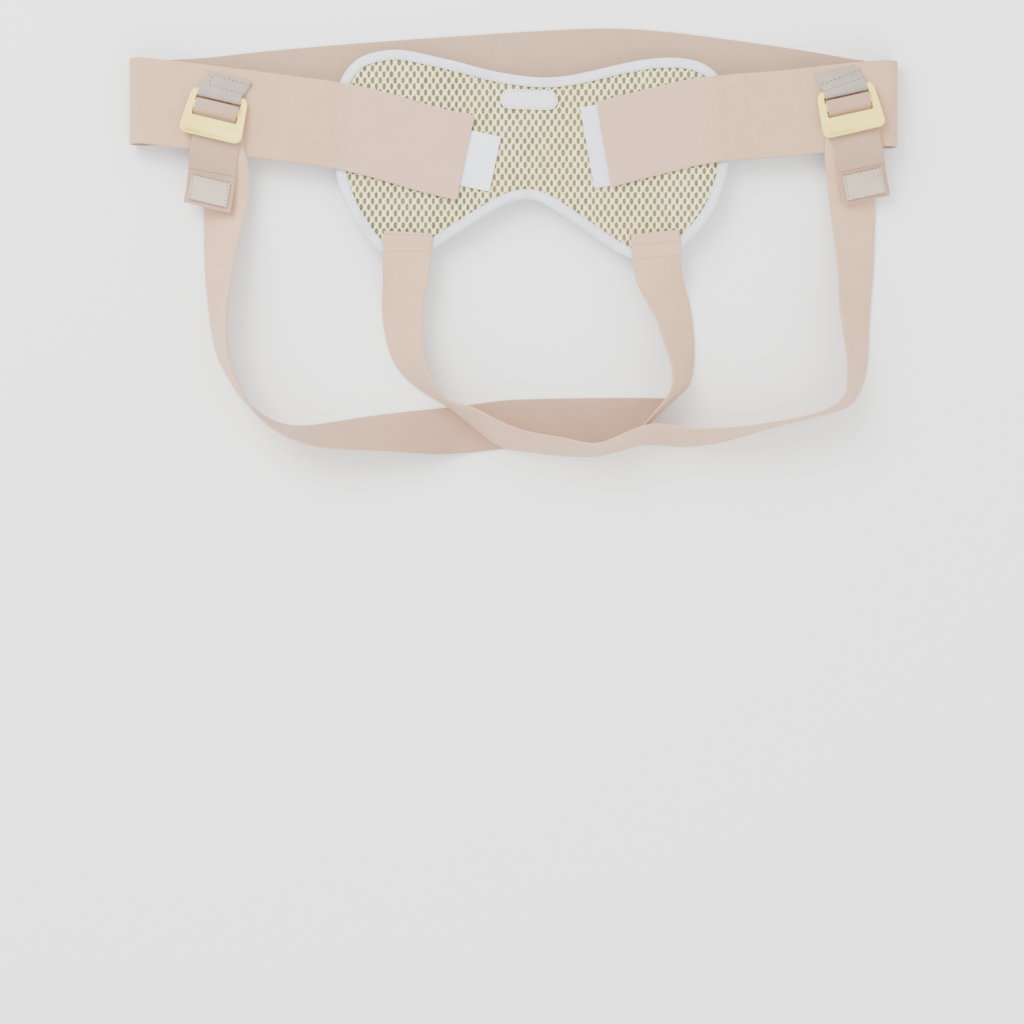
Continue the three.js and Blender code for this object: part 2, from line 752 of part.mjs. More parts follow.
function buckleRow({ x, y, z, width }, holder, innerSide) {
  const edge = (side) =>
    holder.localToWorld(new THREE.Vector3(x + (side * width * strapWidth) / 2, y, z));
  return { outer: edge(-innerSide), inner: edge(innerSide) };
}

// One edge of a strap near its buckle, as points in the buckle's own frame
function localLine(rows, edge, holder) {
  const near = rows.slice(-14).map((row) => row[edge]);
  const line = new THREE.CatmullRomCurve3(near).getPoints(near.length * 4);
  return line.map((point) => holder.worldToLocal(point));
}

function levelAt(line, y) {
  const k = line.findIndex((point) => point.y > y);
  const [a, b] = [line[k - 1], line[k]];
  return a.z + ((b.z - a.z) * (y - a.y)) / (b.y - a.y);
}

// The table's sewn end is drawn to its place on the panel, and its other end to the buckle.
function drawTo(rows, sewnShift, buckleShift) {
  const last = rows.length - 1;
  rows.forEach(({ outer, inner }, k) => {
    for (const point of [outer, inner]) {
      point.addScaledVector(sewnShift, (1 - k / last) ** 4);
      point.addScaledVector(buckleShift, (k / last) ** 8);
    }
  });
}

const sewnShare = 0.617; // of half the panel's length
const sewnUp = -0.355; // of the panel's height
function legStrap(name, table, lobeSide, buckleSide, holder) {
  holder.updateWorldMatrix(true, false);
  const shifts = strapShifts[buckleSide];
  const innerSide = buckleSide === "left" ? 1 : -1;
  const half = table.length / 2;
  const lobeSeat = panelMiddle + bindingOutside + clearance;
  const bandSeat = bandTop + clearance;
  const laid = table.map((row, k) => strapRow(row, k < half ? lobeSeat : bandSeat));
  const sewn = new THREE.Vector3(
    panelX + (lobeSide * sewnShare * panelLength) / 2,
    panelY + sewnUp * panelHeight,
  );
  const start = laid[0].outer.clone().add(laid[0].inner).multiplyScalar(0.5);
  const end = laid.at(-1).outer.clone().add(laid.at(-1).inner).multiplyScalar(0.5);
  const seat = holder.localToWorld(new THREE.Vector3(shifts.load, -strapRunIn, loadLevel));
  drawTo(laid, sewn.sub(start).setZ(0), seat.sub(end).setZ(0));

  const wrapped = buckleRows.map(({ shift, y, z, width }, k) => {
    const x = k < buckleRows.length / 3 ? shift * shifts.load : shift * 4 * shifts.freeStart;
    return buckleRow({ x, y, z, width }, holder, innerSide);
  });
  // The free end lies on the strap that comes in, past the buckle's bottom bar.
  const comesIn = [...laid, ...wrapped.slice(0, 4)];
  const under = {
    outer: localLine(comesIn, "outer", holder),
    inner: localLine(comesIn, "inner", holder),
  };
  const freeSteps = 3;
  const mostTilt = 4;
  const lies = [];
  for (let k = 0; k <= freeSteps; k++) {
    const t = k / freeSteps;
    const x = shifts.freeStart + (shifts.freeEnd - shifts.freeStart) * t;
    const y = -bottomBarEnd + 1 - t * (freeEndLength + 1);
    const levels = [levelAt(under.outer, y), levelAt(under.inner, y)];
    const lowest = Math.max(...levels) - mostTilt;
    const place = (level, side) =>
      holder.localToWorld(
        new THREE.Vector3(
          x + (side * strapWidth) / 2,
          y,
          Math.max(level, lowest) + layer + 0.2,
        ),
      );
    lies.push({ outer: place(levels[0], -innerSide), inner: place(levels[1], innerSide) });
  }
  const rows = [...laid, ...wrapped, ...lies];
  const samples = rows.length * 2;
  const onFloor = (point) => point.setZ(Math.max(point.z, strapThickness / 2));
  const smooth = (edge) =>
    new THREE.CatmullRomCurve3(rows.map((row) => row[edge])).getPoints(samples).map(onFloor);
  const frames = stripFrames(smooth("outer"), smooth("inner"));
  solid(`leg_strap_${name}`, strip(frames, strapThickness), elastic);
  return frames;
}

// The hook patch lies on the strap's free end, inside a border of bare strap.
function hookPatch(name, frames) {
  const rings = [];
  let back = 0;
  for (let k = frames.length - 1; k > 0; k--) {
    const [frame, before] = [frames[k], frames[k - 1]];
    const gap = frame.middle.distanceTo(before.middle);
    const between = (share) => ({
      ...frame,
      middle: frame.middle.clone().lerp(before.middle, share),
      across: frame.across.clone().lerp(before.across, share).normalize(),
      out: frame.out.clone().lerp(before.out, share).normalize(),
    });
    if (back > patchBorder && back < patchBorder + patchLength) rings.push(between(0));
    for (const stop of [patchBorder, patchBorder + patchLength]) {
      if (stop >= back && stop < back + gap) rings.push(between((stop - back) / gap));
    }
    back += gap;
  }
  const up = Math.sign(rings[0].out.z);
  const lift = up * (strapThickness / 2 + 2 * clearance + patchThickness / 2);
  const geometry = strip(rings, patchThickness, lift, strapWidth - patchWidth);
  solid(`strap_hook_patch_${name}`, geometry, greyRibbon);
}

waistBand();
hookTapes();
panel();
label();
pads();
for (const [name, table, lobeSide, buckleSide] of [
  ["left", leftStrap, -1, "right"],
  ["right", rightStrap, 1, "left"],
]) {
  const holder = buckleHolder(buckleSide);
  buckle(buckleSide, holder);
  buckleLoop(buckleSide, holder);
  hookPatch(name, legStrap(name, table, lobeSide, buckleSide, holder));
}

// The frame's origin is on the floor, under the middle of the belt's outline.
belt.updateMatrixWorld(true);
const bounds = new THREE.Box3().setFromObject(belt);
const middle = bounds.getCenter(new THREE.Vector3());
belt.position.set(-middle.x, -middle.y, -bounds.min.z);

export default belt;
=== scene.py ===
# %% The frame: the belt's own solids, which every piece of this lesson is fitted to
import json
import math
import random

import bmesh
import bpy
from mathutils import Matrix, Vector
from mathutils.bvhtree import BVHTree

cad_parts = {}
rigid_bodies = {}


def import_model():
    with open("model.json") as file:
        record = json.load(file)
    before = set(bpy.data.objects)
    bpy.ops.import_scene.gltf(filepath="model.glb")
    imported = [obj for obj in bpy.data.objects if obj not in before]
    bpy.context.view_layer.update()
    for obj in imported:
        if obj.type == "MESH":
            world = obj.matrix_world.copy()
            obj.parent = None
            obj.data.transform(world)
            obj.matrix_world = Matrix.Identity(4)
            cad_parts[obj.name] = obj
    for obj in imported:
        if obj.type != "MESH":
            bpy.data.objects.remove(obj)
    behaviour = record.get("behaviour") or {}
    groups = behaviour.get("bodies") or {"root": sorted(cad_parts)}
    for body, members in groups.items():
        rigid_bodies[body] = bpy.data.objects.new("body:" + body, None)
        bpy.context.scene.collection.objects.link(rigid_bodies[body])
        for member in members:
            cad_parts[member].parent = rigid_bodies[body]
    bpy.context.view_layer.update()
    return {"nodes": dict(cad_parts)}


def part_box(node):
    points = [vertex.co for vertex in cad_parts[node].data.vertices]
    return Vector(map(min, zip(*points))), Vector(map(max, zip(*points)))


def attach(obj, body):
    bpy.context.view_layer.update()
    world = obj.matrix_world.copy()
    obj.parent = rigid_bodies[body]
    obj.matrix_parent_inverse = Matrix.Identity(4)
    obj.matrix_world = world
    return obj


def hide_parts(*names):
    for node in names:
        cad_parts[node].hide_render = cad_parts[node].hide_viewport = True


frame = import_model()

MM = 0.001
SIDES = ("left", "right")

# %% [markdown]
# The belt lies flat on a table and is seen from straight above. Places are read off a picture of
# it in picture points, so one helper turns a point of the picture into a place on the table.
# A second helper finds how high the cloth lies there by dropping a ray on it. That is safer
# than typing heights, because nothing can end up inside the cloth.

# %% From picture points to places on the belt
POINT = 0.70 * MM
CENTRE_POINT = (513.5, 242.25)
FRAME_SHIFT = 0.56 * MM


def spot(across, down):
    """The place on the table that a point of the picture shows, at height zero."""
    x = (across - CENTRE_POINT[0]) * POINT
    y = (CENTRE_POINT[1] - down) * POINT + FRAME_SHIFT
    return Vector((x, y, 0))


class Surface:
    """What some objects look like to a ray, so that small things can be laid on them."""

    def __init__(self, *objects):
        bpy.context.view_layer.update()
        graph = bpy.context.evaluated_depsgraph_get()
        self.trees = [BVHTree.FromObject(thing, graph) for thing in objects]

    def drop(self, place, upwards=False):
        """The highest point of the surface over a place, or the lowest one, with its normal."""
        way = Vector((0, 0, 1 if upwards else -1))
        start = Vector((place.x, place.y, 0)) - way
        hits = [tree.ray_cast(start, way) for tree in self.trees]
        hits = [hit for hit in hits if hit[0]]
        if not hits:
            return None, None
        best = min(hits, key=lambda hit: hit[3])
        return best[0], best[1]


print("a point of the picture is", POINT / MM, "mm")

# %% [markdown]
# The belt is made from long flat strips, so the most useful helper grows a sheet from lines of
# points. A curve with a bevel would do too. Here each new line is an extrusion of the last one,
# which keeps the faces square and gives a map of the sheet in metres, along it and across it.
# The weave needs that map, because threads follow the cloth.

# %% Sheets grown line by line
SAME_POINT = 1e-6


def merged(node):
    """A copy of one of the belt's solids, with its loose triangles joined."""
    shape = bmesh.new()
    shape.from_mesh(frame["nodes"][node].data)
    bmesh.ops.remove_doubles(shape, verts=shape.verts, dist=SAME_POINT)
    return shape


def grown(lines, closed=False):
    """A sheet whose first line of points is extruded onto each of the next lines."""
    shape = bmesh.new()
    chart = shape.loops.layers.uv.new("UVMap")
    first = [shape.verts.new(point) for point in lines[0]]
    nexts = first[1:] + first[:1] if closed else first[1:]
    edges = [shape.edges.new(pair) for pair in zip(first, nexts)]
    place = {vert: (k, 0) for k, vert in enumerate(first)}
    for row, line in enumerate(lines[1:], 1):
        result = bmesh.ops.extrude_edge_only(shape, edges=edges)["geom"]
        fresh = [item for item in result if isinstance(item, bmesh.types.BMVert)]
        for vert in fresh:
            partner = next(
                edge.other_vert(vert)
                for edge in vert.link_edges
                if place.get(edge.other_vert(vert), (0, None))[1] == row - 1
            )
            place[vert] = (place[partner][0], row)
        for vert in fresh:
            vert.co = line[place[vert][0]]
        edges = [
            item
            for item in result
            if isinstance(item, bmesh.types.BMEdge) and all(place[v][1] == row for v in item.verts)
        ]
    middle = lines[len(lines) // 2]
    along = [0.0]
    for here, there in zip(middle, middle[1:] + middle[:1]):
        along.append(along[-1] + (Vector(there) - Vector(here)).length)
    across = [0.0]
    for here, there in zip(lines, lines[1:]):
        across.append(across[-1] + (Vector(there[0]) - Vector(here[0])).length)
    last = len(first) - 1
    for face in shape.faces:
        columns = [place[loop.vert][0] for loop in face.loops]
        wraps = closed and 0 in columns and last in columns
        for loop in face.loops:
            k, row = place[loop.vert]
            loop[chart].uv = (along[last + 1 if wraps and k == 0 else k], across[row])
    return shape


def made(name, shape, *materials):
    """A smooth object from a bmesh, at the origin, with its materials."""
    for face in shape.faces:
        face.smooth = True
    mesh = bpy.data.meshes.new(name)
    shape.to_mesh(mesh)
    shape.free()
    thing = bpy.data.objects.new(name, mesh)
    bpy.context.scene.collection.objects.link(thing)
    for material in materials:
        mesh.materials.append(material)
    return thing


def rounded(thing, rounds):
    """Rounds a piece by subdividing it a few times."""
    smooth = thing.modifiers.new("rounding", "SUBSURF")
    smooth.levels = rounds
    smooth.render_levels = rounds
    return thing


def thicken(thing, thickness, rounds, reverse=False):
    """Gives a sheet its thickness about its middle, and rounds it."""
    wall = thing.modifiers.new("thickness", "SOLIDIFY")
    wall.thickness = thickness
    wall.offset = 0
    wall.use_even_offset = True
    if reverse:
        wall.material_offset = 1
    return rounded(thing, rounds)


def cut_length(low, high):
    """How long a strip was cut, in whole millimetres."""
    middle = [(a + b) / 2 for a, b in zip(low, high)]
    return round(sum((b - a).length for a, b in zip(middle, middle[1:])) / MM) * MM


def belongs(thing, slot, *nodes):
    """Ties a piece to the belt and hides the solids that it stands for; its slot is not used."""
    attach(thing, "root")
    if nodes:
        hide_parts(*nodes)
    return thing


# %% [markdown]
# Materials are worked out like sums. A small class stands for a wire of the node editor: adding
# or multiplying two wires adds the Math node that does it. The mouse would draw the same nodes,
# but a formula is easier to read and to change.

# %% A wire of the node editor
NOISE_ROUGHNESS = 0.55
# the numbered sockets of the Mix node, when it mixes colours
MIX_SHARE, MIX_FIRST, MIX_SECOND, MIX_RESULT = 0, 6, 7, 2


class Wire:
    def __init__(self, tree, socket=None):
        self.tree = tree
        self.socket = socket

    def add(self, kind, values=None, out=0, **settings):
        """Adds a node: its settings first, then the values and links of its sockets."""
        node = self.tree.nodes.new("ShaderNode" + kind)
        for setting, value in settings.items():
            setattr(node, setting, value)
        for name, value in (values or {}).items():
            plug(self.tree, node.inputs[name], value)
        return Wire(self.tree, node.outputs[out])

    def maths(self, operation, *values):
        return self.add("Math", dict(enumerate(values)), operation=operation)

    def __add__(self, other):
        return self.maths("ADD", self, other)

    __radd__ = __add__

    def __sub__(self, other):
        return self.maths("SUBTRACT", self, other)

    def __rsub__(self, other):
        return self.maths("SUBTRACT", other, self)

    def __mul__(self, other):
        return self.maths("MULTIPLY", self, other)

    __rmul__ = __mul__

    def __truediv__(self, other):
        return self.maths("DIVIDE", self, other)

    def __pow__(self, other):
        return self.maths("POWER", self, other)

    def wave(self):
        """A ridge from 0 to 1 and back, once for each unit."""
        return self.maths("ABSOLUTE", self.maths("SINE", self * math.pi))

    def step(self, start, end):
        """Rises from 0 at start to 1 at end, smoothly."""
        values = {"Value": self, "From Min": start, "From Max": end}
        return self.add("MapRange", values, interpolation_type="SMOOTHSTEP")

    def least(self, other):
        return self.maths("MINIMUM", self, other)

    def parts(self):
        split = self.add("SeparateXYZ", {"Vector": self})
        return [Wire(self.tree, socket) for socket in split.socket.node.outputs]

    def noise(self, scale, detail, where=None):
        values = {"Scale": scale, "Detail": detail, "Roughness": NOISE_ROUGHNESS}
        values["Vector"] = where if where is not None else self.place()
        return self.add("TexNoise", values)

    def place(self):
        return self.add("TexCoord", out="Object")

    def chart(self):
        return self.add("UVMap", uv_map="UVMap").parts()

    def mix(self, share, first, second):
        values = {MIX_SHARE: share, MIX_FIRST: first, MIX_SECOND: second}
        return self.add("Mix", values, out=MIX_RESULT, data_type="RGBA")

    def relief(self, height, depth, strength):
        values = {"Height": height, "Distance": depth, "Strength": strength}
        return self.add("Bump", values)


def plug(tree, socket, value):
    if isinstance(value, Wire):
        tree.links.new(value.socket, socket)
    else:
        socket.default_value = value


STAGE_LIGHT = 2.2
FILM_STEP = 0.112
FILM_ANCHOR = (0.706, 0.6)
WHITEST = 0.92


def seen(red, green, blue):
    """The tone that a cloth needs to show as this screen colour, from 0 to 255, on the stage.

    The film curve gives each doubling of the light about the same step on the screen.
    """
    shown, light = FILM_ANCHOR
    tones = []
    for value in (red, green, blue):
        stops = (value / 255 - shown) / FILM_STEP
        tones.append(min(light * 2**stops / STAGE_LIGHT, WHITEST))
    return (*tones, 1.0)


def dark(red, green, blue):
    """A dark tone as plain shares of the light, in thousandths."""
    return (red / 1000, green / 1000, blue / 1000, 1.0)


def finish(name, paint):
    """A material: paint takes a wire and returns what each socket of the shader gets."""
    material = bpy.data.materials.new(name)
    material.use_nodes = True
    tree = material.node_tree
    shader = tree.nodes["Principled BSDF"]
    for socket, value in paint(Wire(tree)).items():
        plug(tree, shader.inputs[socket], value)
    return material


# %% [markdown]
# The band and the straps are skin-toned elastic: fine lengthwise cords of covered rubber, held by
# a thin weft. It could be a picture of cloth, but a formula on the sheet's own map keeps every
# cord parallel to the edges round each fold. The cords are a wave across the strap, the weft
# a wave along it, half a step on in every other cord. Two slow noises shift the tone a little.

# %% Elastic
CORD_PITCH = 1.15 * MM
WEFT_PITCH = 1.4 * MM
SELVAGE = 1.6 * MM
# streaks in a metre: many along the strip, few across it
STREAKS = (420, 16)
# the band's ends are brushed to loops: where that starts and is full, left and right
LEFT_LOOPS = (-0.122, -0.112)
RIGHT_LOOPS = (0.142, 0.130)
# only the front of the band lies higher than this
FRONT_LEVEL = (0.012, 0.015)


def elastic(name, width, tone, pink, cream, pile=False):
    """Ribbed elastic of a width, with brushed ends where it has a pile."""

    def paint(wire):
        along, across, _ = wire.chart()
        cords = (across / CORD_PITCH).wave()
        pair = across / (2 * CORD_PITCH)
        shift = pair.maths("FRACT", pair)
        weft = (along / WEFT_PITCH + shift.step(0.48, 0.52) * 0.5).wave()
        fuzz = wire.noise(1400, 3)
        streak_place = wire.add("CombineXYZ", {"X": along * STREAKS[0], "Y": across * STREAKS[1]})
        streaks = wire.noise(1, 2, streak_place)
        edge = across.least(width - across).step(0.0, SELVAGE)
        height = (cords * 0.35 + weft * 0.45) * edge + fuzz * 0.5 + streaks * 0.8
        warm = wire.noise(22, 2).step(0.4, 0.7)
        pale = wire.noise(55, 3).step(0.45, 0.75)
        colour = wire.mix(warm * 0.3, seen(*tone), seen(*pink))
        colour = wire.mix(pale * 0.15, colour, seen(*cream))
        # Painted shade: the grooves between the cords and the weft are painted darker. The colour
        # also darkens a little towards the edges, and fuzz and streaks add tone that varies at
        # random.
        shade_and_streaks = (1 - cords * weft) * 0.12 + (1 - weft) * 0.1 + (1 - edge) * 0.06
        shade_and_streaks = shade_and_streaks + fuzz * 0.08 + streaks * 0.12
        colour = wire.mix(shade_and_streaks, colour, seen(150, 125, 108))
        if pile:
            x, _, z = wire.place().parts()
            loops = x.step(*LEFT_LOOPS) * x.step(*RIGHT_LOOPS) * z.step(*FRONT_LEVEL)
            colour = wire.mix(loops * 0.45, colour, seen(215, 197, 186))
            height = height + loops * wire.noise(2600, 2) * 0.5
        return {
            "Base Color": colour,
            "Roughness": 0.86 - cords * 0.06,
            "Normal": wire.relief(height, 0.22 * MM, 0.8),
            "Sheen Weight": 0.25,
            "Sheen Roughness": 0.5,
            "Specular IOR Level": 0.25,
        }

    return finish(name, paint)


BAND_WIDTH = 60 * MM
STRAP_WIDTH = 34 * MM
band_face = elastic(
    "band elastic", BAND_WIDTH, (217, 199, 180), (215, 190, 172), (229, 214, 199), pile=True
)
# The insides are darker copies of the same elastic. The darkness is partly the reverse face's own
# tone and partly painted shade.
band_back_and_shade = elastic(
    "band elastic inside", BAND_WIDTH, (208, 191, 176), (204, 183, 169), (216, 202, 188)
)
strap_face = elastic(
    "strap elastic", STRAP_WIDTH, (221, 203, 185), (219, 195, 176), (231, 217, 202)
)
strap_back_and_shade = elastic(
    "strap elastic inside", STRAP_WIDTH, (207, 188, 172), (200, 179, 162), (214, 200, 185)
)
print("elastic cords are", CORD_PITCH / MM, "mm apart")

# %% [markdown]
# The panel's front is a warp-knitted spacer net: cream threads round long staggered holes, with
# an olive-grey ground to be seen through them. The net itself is modelled further down, with
# real holes, so its thread only needs a fine knitted relief, and the ground a soft dark pile.

# %% Net, ground and white cloth
KNIT_PITCH = 0.62 * MM
KNIT_CROSS_PITCH = 0.5 * MM
KNIT_LEAN = 0.35
CLOTH_PITCH = 0.75 * MM
# the ground is a little greyer to the left of the first place, all the way past the second
GREYER = (0.02, -0.07)


def net_paint(wire):
    x, y, _ = wire.place().parts()
    along = ((x + y * KNIT_LEAN) / KNIT_PITCH).wave()
    across = ((y - x * KNIT_LEAN) / KNIT_CROSS_PITCH).wave()
    knit = along * 0.6 + across * 0.4
    fuzz = wire.noise(1800, 2)
    worn = wire.noise(35, 3).step(0.35, 0.7)
    colour = wire.mix(worn * 0.5, seen(252, 238, 208), seen(238, 223, 190))
    # Painted shade: the low parts of the knit are painted darker.
    colour = wire.mix((1 - knit) * 0.2, colour, seen(190, 178, 145))
    return {
        "Base Color": colour,
        "Roughness": 0.8 + fuzz * 0.1,
        "Normal": wire.relief(knit + fuzz * 0.4, 0.12 * MM, 0.7),
        "Sheen Weight": 0.2,
    }


def ground_paint(wire):
    x, _, _ = wire.place().parts()
    pile = wire.noise(1500, 3)
    patchy = wire.noise(60, 2)
    left = x.step(*GREYER)
    colour = wire.mix(left, seen(165, 156, 124), seen(148, 147, 122))
    colour = wire.mix(patchy.step(0.3, 0.75) * 0.5, colour, seen(186, 174, 140))
    colour = wire.mix(pile * 0.3, colour, seen(120, 112, 86))
    return {
        "Base Color": colour,
        "Roughness": 0.92,
        "Normal": wire.relief(pile, 0.3 * MM, 0.8),
    }


def white_paint(wire):
    x, y, _ = wire.place().parts()
    over = ((x + y) / CLOTH_PITCH).wave()
    under = ((x - y) / CLOTH_PITCH).wave()
    cloudy = wire.noise(40, 3)
    colour = wire.mix(cloudy.step(0.35, 0.7) * 0.5, seen(224, 224, 226), seen(214, 213, 214))
    # Painted shade: the gaps between the threads of the weave are painted darker.
    colour = wire.mix((1 - over * under) * 0.12, colour, seen(170, 170, 174))
    return {
        "Base Color": colour,
        "Roughness": 0.88,
        "Normal": wire.relief(over * 0.5 + under * 0.5 + cloudy * 0.4, 0.1 * MM, 0.7),
        "Sheen Weight": 0.15,
    }


net_thread = finish("net thread", net_paint)
net_ground = finish("net ground", ground_paint)
white_cloth = finish("white cloth", white_paint)
print("net threads are knitted", round(KNIT_PITCH / MM, 2), "mm apart")

# %% [markdown]
# Ribbons differ from the elastic: the binding is a white ribbon with fine cross ribs, the loops
# and the hook patches are grey-beige ones. One function serves them all, with the map of the
# sheet where it has one. The hook tape is smooth white nylon with rows of tiny hooks.

# %% Ribbons, hook tape and label
RIBBON_RIB = 0.55 * MM
RIBBON_CROSS = 0.4 * MM
PATCH_RIB = 0.8 * MM
HOOK_PITCH = (1.3 * MM, 1.0 * MM)
LOOP_RIB = 0.6 * MM
LOOP_CROSS = 0.5 * MM


def ribbon(name, tone, shade, rib=RIBBON_RIB):
    def paint(wire):
        along, across, _ = wire.chart()
        ribs = (along / rib).wave()
        cross = (across / RIBBON_CROSS).wave()
        cloudy = wire.noise(70, 3)
        fuzz = wire.noise(1700, 2)
        colour = wire.mix(cloudy.step(0.35, 0.7) * 0.45, seen(*tone), seen(*shade))
        # Painted shade: the hollows between the ribs are painted darker.
        colour = wire.mix((1 - ribs) * 0.14, colour, seen(150, 146, 142))
        return {
            "Base Color": colour,
            "Roughness": 0.78 + fuzz * 0.1,
            "Normal": wire.relief(ribs * 0.7 + cross * 0.2 + fuzz * 0.4, 0.1 * MM, 0.7),
            "Sheen Weight": 0.2,
        }

    return finish(name, paint)


def hooks(name, tone, shade):
    def paint(wire):
        x, y, _ = wire.place().parts()
        rows = (x / HOOK_PITCH[0]).wave() ** 3 * (y / HOOK_PITCH[1]).wave() ** 3
        cloudy = wire.noise(60, 2)
        colour = wire.mix(cloudy.step(0.35, 0.75) * 0.4, seen(*tone), seen(*shade))
        colour = wire.mix(rows * 0.15, colour, seen(250, 250, 255))
        return {
            "Base Color": colour,
            "Roughness": 0.6 - rows * 0.15,
            "Normal": wire.relief(rows + wire.noise(900, 2) * 0.3, 0.14 * MM, 0.6),
            "Coat Weight": 0.05,
        }

    return finish(name, paint)


def object_ribbon(name, tone, shade, turn):
    """A ribbon on Object coordinates, for pieces without a map of their own."""

    def paint(wire):
        x, y, _ = wire.place().parts()
        along = x * math.cos(turn) + y * math.sin(turn)
        across = y * math.cos(turn) - x * math.sin(turn)
        ribs = (across / LOOP_RIB).wave()
        cross = (along / LOOP_CROSS).wave()
        cloudy = wire.noise(90, 3)
        colour = wire.mix(cloudy.step(0.35, 0.7) * 0.5, seen(*tone), seen(*shade))
        # Painted shade: the hollows between the ribs and the cross threads are painted darker.
        colour = wire.mix((1 - ribs * cross) * 0.16, colour, seen(140, 134, 128))
        return {
            "Base Color": colour,
            "Roughness": 0.82,
            "Normal": wire.relief(ribs * 0.6 + cross * 0.4, 0.12 * MM, 0.8),
            "Sheen Weight": 0.2,
        }

    return finish(name, paint)


# how far each slide and the label are turned about the upright
SLIDE_TURN = {"left": math.radians(-13.4), "right": math.radians(12.6)}
LABEL_TURN = -0.03
binding_ribbon = ribbon("binding ribbon", (222, 223, 226), (212, 212, 214))
loop_ribbon = {
    side: object_ribbon(f"loop ribbon {side}", (195, 187, 180), (186, 178, 172), turn)
    for side, turn in SLIDE_TURN.items()
}
patch_ribbon = ribbon("hook patch", (208, 199, 187), (200, 190, 177), PATCH_RIB)
left_tape = hooks("left hook tape", (224, 227, 248), (214, 218, 238))
right_tape = hooks("right hook tape", (222, 220, 229), (214, 210, 220))
label_satin = object_ribbon("label satin", (229, 229, 234), (222, 222, 228), LABEL_TURN)
print("binding ribs are", round(RIBBON_RIB / MM, 2), "mm apart")

# %% [markdown]
# Three finishes are left. The velour of the pads is nearly black: short fibres that catch light
# only at a flat angle, which is what sheen is for. The slides are pale yellow moulded plastic,
# softly glossy, with the faint waves of the mould. Thread is white, beige or grey, and twisted.

# %% Velour, moulded plastic and thread
THREAD_TWIST = 0.35 * MM


def velour_paint(wire):
    fibre = wire.noise(2400, 3)
    brushed = wire.noise(45, 3).step(0.35, 0.7)
    colour = wire.mix(brushed * 0.6, dark(6, 3.5, 2.8), dark(13, 8, 6))
    colour = wire.mix(fibre * 0.2, colour, dark(30, 20, 15))
    return {
        "Base Color": colour,
        "Roughness": 0.95,
        "Normal": wire.relief(fibre, 0.25 * MM, 0.7),
        "Sheen Weight": 0.06,
        "Sheen Roughness": 0.4,
        "Specular IOR Level": 0.15,
    }


def plastic_paint(wire):
    waves = wire.noise(40, 2)
    grain = wire.noise(900, 2)
    colour = wire.mix(waves.step(0.3, 0.75) * 0.5, seen(254, 224, 160), seen(249, 213, 144))
    return {
        "Base Color": colour,
        "Roughness": 0.34 + grain * 0.1,
        "Normal": wire.relief(waves * 0.8 + grain * 0.1, 0.12 * MM, 0.4),
        "Subsurface Weight": 0.12,
        "Subsurface Scale": 2 * MM,
        "Coat Weight": 0.12,
    }


def thread(name, tone):
    def paint(wire):
        x, y, z = wire.place().parts()
        twist = ((x + y + z) / THREAD_TWIST).wave()
        # Painted shade: the grooves of the twist are painted darker.
        return {
            "Base Color": wire.mix((1 - twist) * 0.3, seen(*tone), seen(120, 112, 105)),
            "Roughness": 0.6,
            "Normal": wire.relief(twist, 0.06 * MM, 0.6),
        }

    return finish(name, paint)


velour = finish("velour", velour_paint)
plastic = finish("buckle plastic", plastic_paint)
white_thread = thread("white thread", (212, 212, 216))
beige_thread = thread("beige thread", (196, 176, 160))
grey_thread = thread("grey thread", (158, 146, 138))
dark_thread = thread("dark thread", (120, 108, 104))
print(len(bpy.data.materials), "materials")

# %% [markdown]
# The stage is a plain pale floor under soft light: one big lamp high up at the back left, a
# weaker one at the front right, and a bright even sky to fill the shadows. The camera hangs
# straight over the belt and is turned nowhere, because the picture was taken so.

# %% Floor, light and camera
CAMERA_HEIGHT = 2.4
PICTURE_POINTS = 1024
FLOOR_HALF = 6
FLOOR_DROP = 0.3 * MM
SKY_STRENGTH = 1.95
# each lamp's place and width in metres, and its power in watts
LAMPS = {
    "high lamp": ((-0.9, 1.0, 1.5), 1.2, 57),
    "front lamp": ((1.0, -1.2, 1.4), 1.6, 18),
}


def floor_paint(wire):
    cloudy = wire.noise(3, 2) * 0.2
    return {
        "Base Color": wire.mix(cloudy, seen(250, 250, 250), seen(244, 244, 245)),
        "Roughness": 0.9,
        "Specular IOR Level": 0.1,
    }


def stage():
    shape = bmesh.new()
    bmesh.ops.create_grid(shape, x_segments=1, y_segments=1, size=FLOOR_HALF)
    bmesh.ops.translate(shape, verts=shape.verts, vec=(0, 0, -FLOOR_DROP))
    made("floor", shape, finish("pale floor", floor_paint))


def lamp(name, place, width, power):
    """A square lamp that points at the middle of the floor."""
    light = bpy.data.lights.new(name, "AREA")
    light.size = width
    light.energy = power
    thing = bpy.data.objects.new(name, light)
    thing.location = place
    thing.rotation_euler = (-Vector(place)).to_track_quat("-Z", "Y").to_euler()
    bpy.context.scene.collection.objects.link(thing)


def sky(strength):
    world = bpy.data.worlds.new("soft sky")
    bpy.context.scene.world = world
    world.use_nodes = True
    background = world.node_tree.nodes["Background"]
    background.inputs["Color"].default_value = (1, 1, 1, 1)
    background.inputs["Strength"].default_value = strength


def camera():
    lens = bpy.data.cameras.new("camera")
    lens.sensor_fit = "HORIZONTAL"
    lens.angle = 2 * math.atan(PICTURE_POINTS * POINT / 2 / CAMERA_HEIGHT)
    lens.clip_end = 20
    thing = bpy.data.objects.new("camera", lens)
    middle = spot(PICTURE_POINTS / 2, PICTURE_POINTS / 2)
    thing.location = (middle.x, middle.y, CAMERA_HEIGHT)
    bpy.context.scene.collection.objects.link(thing)
    bpy.context.scene.camera = thing


stage()
for name, (place, width, power) in LAMPS.items():
    lamp(name, place, width, power)
sky(SKY_STRENGTH)
camera()
print("camera", CAMERA_HEIGHT, "m over the floor")

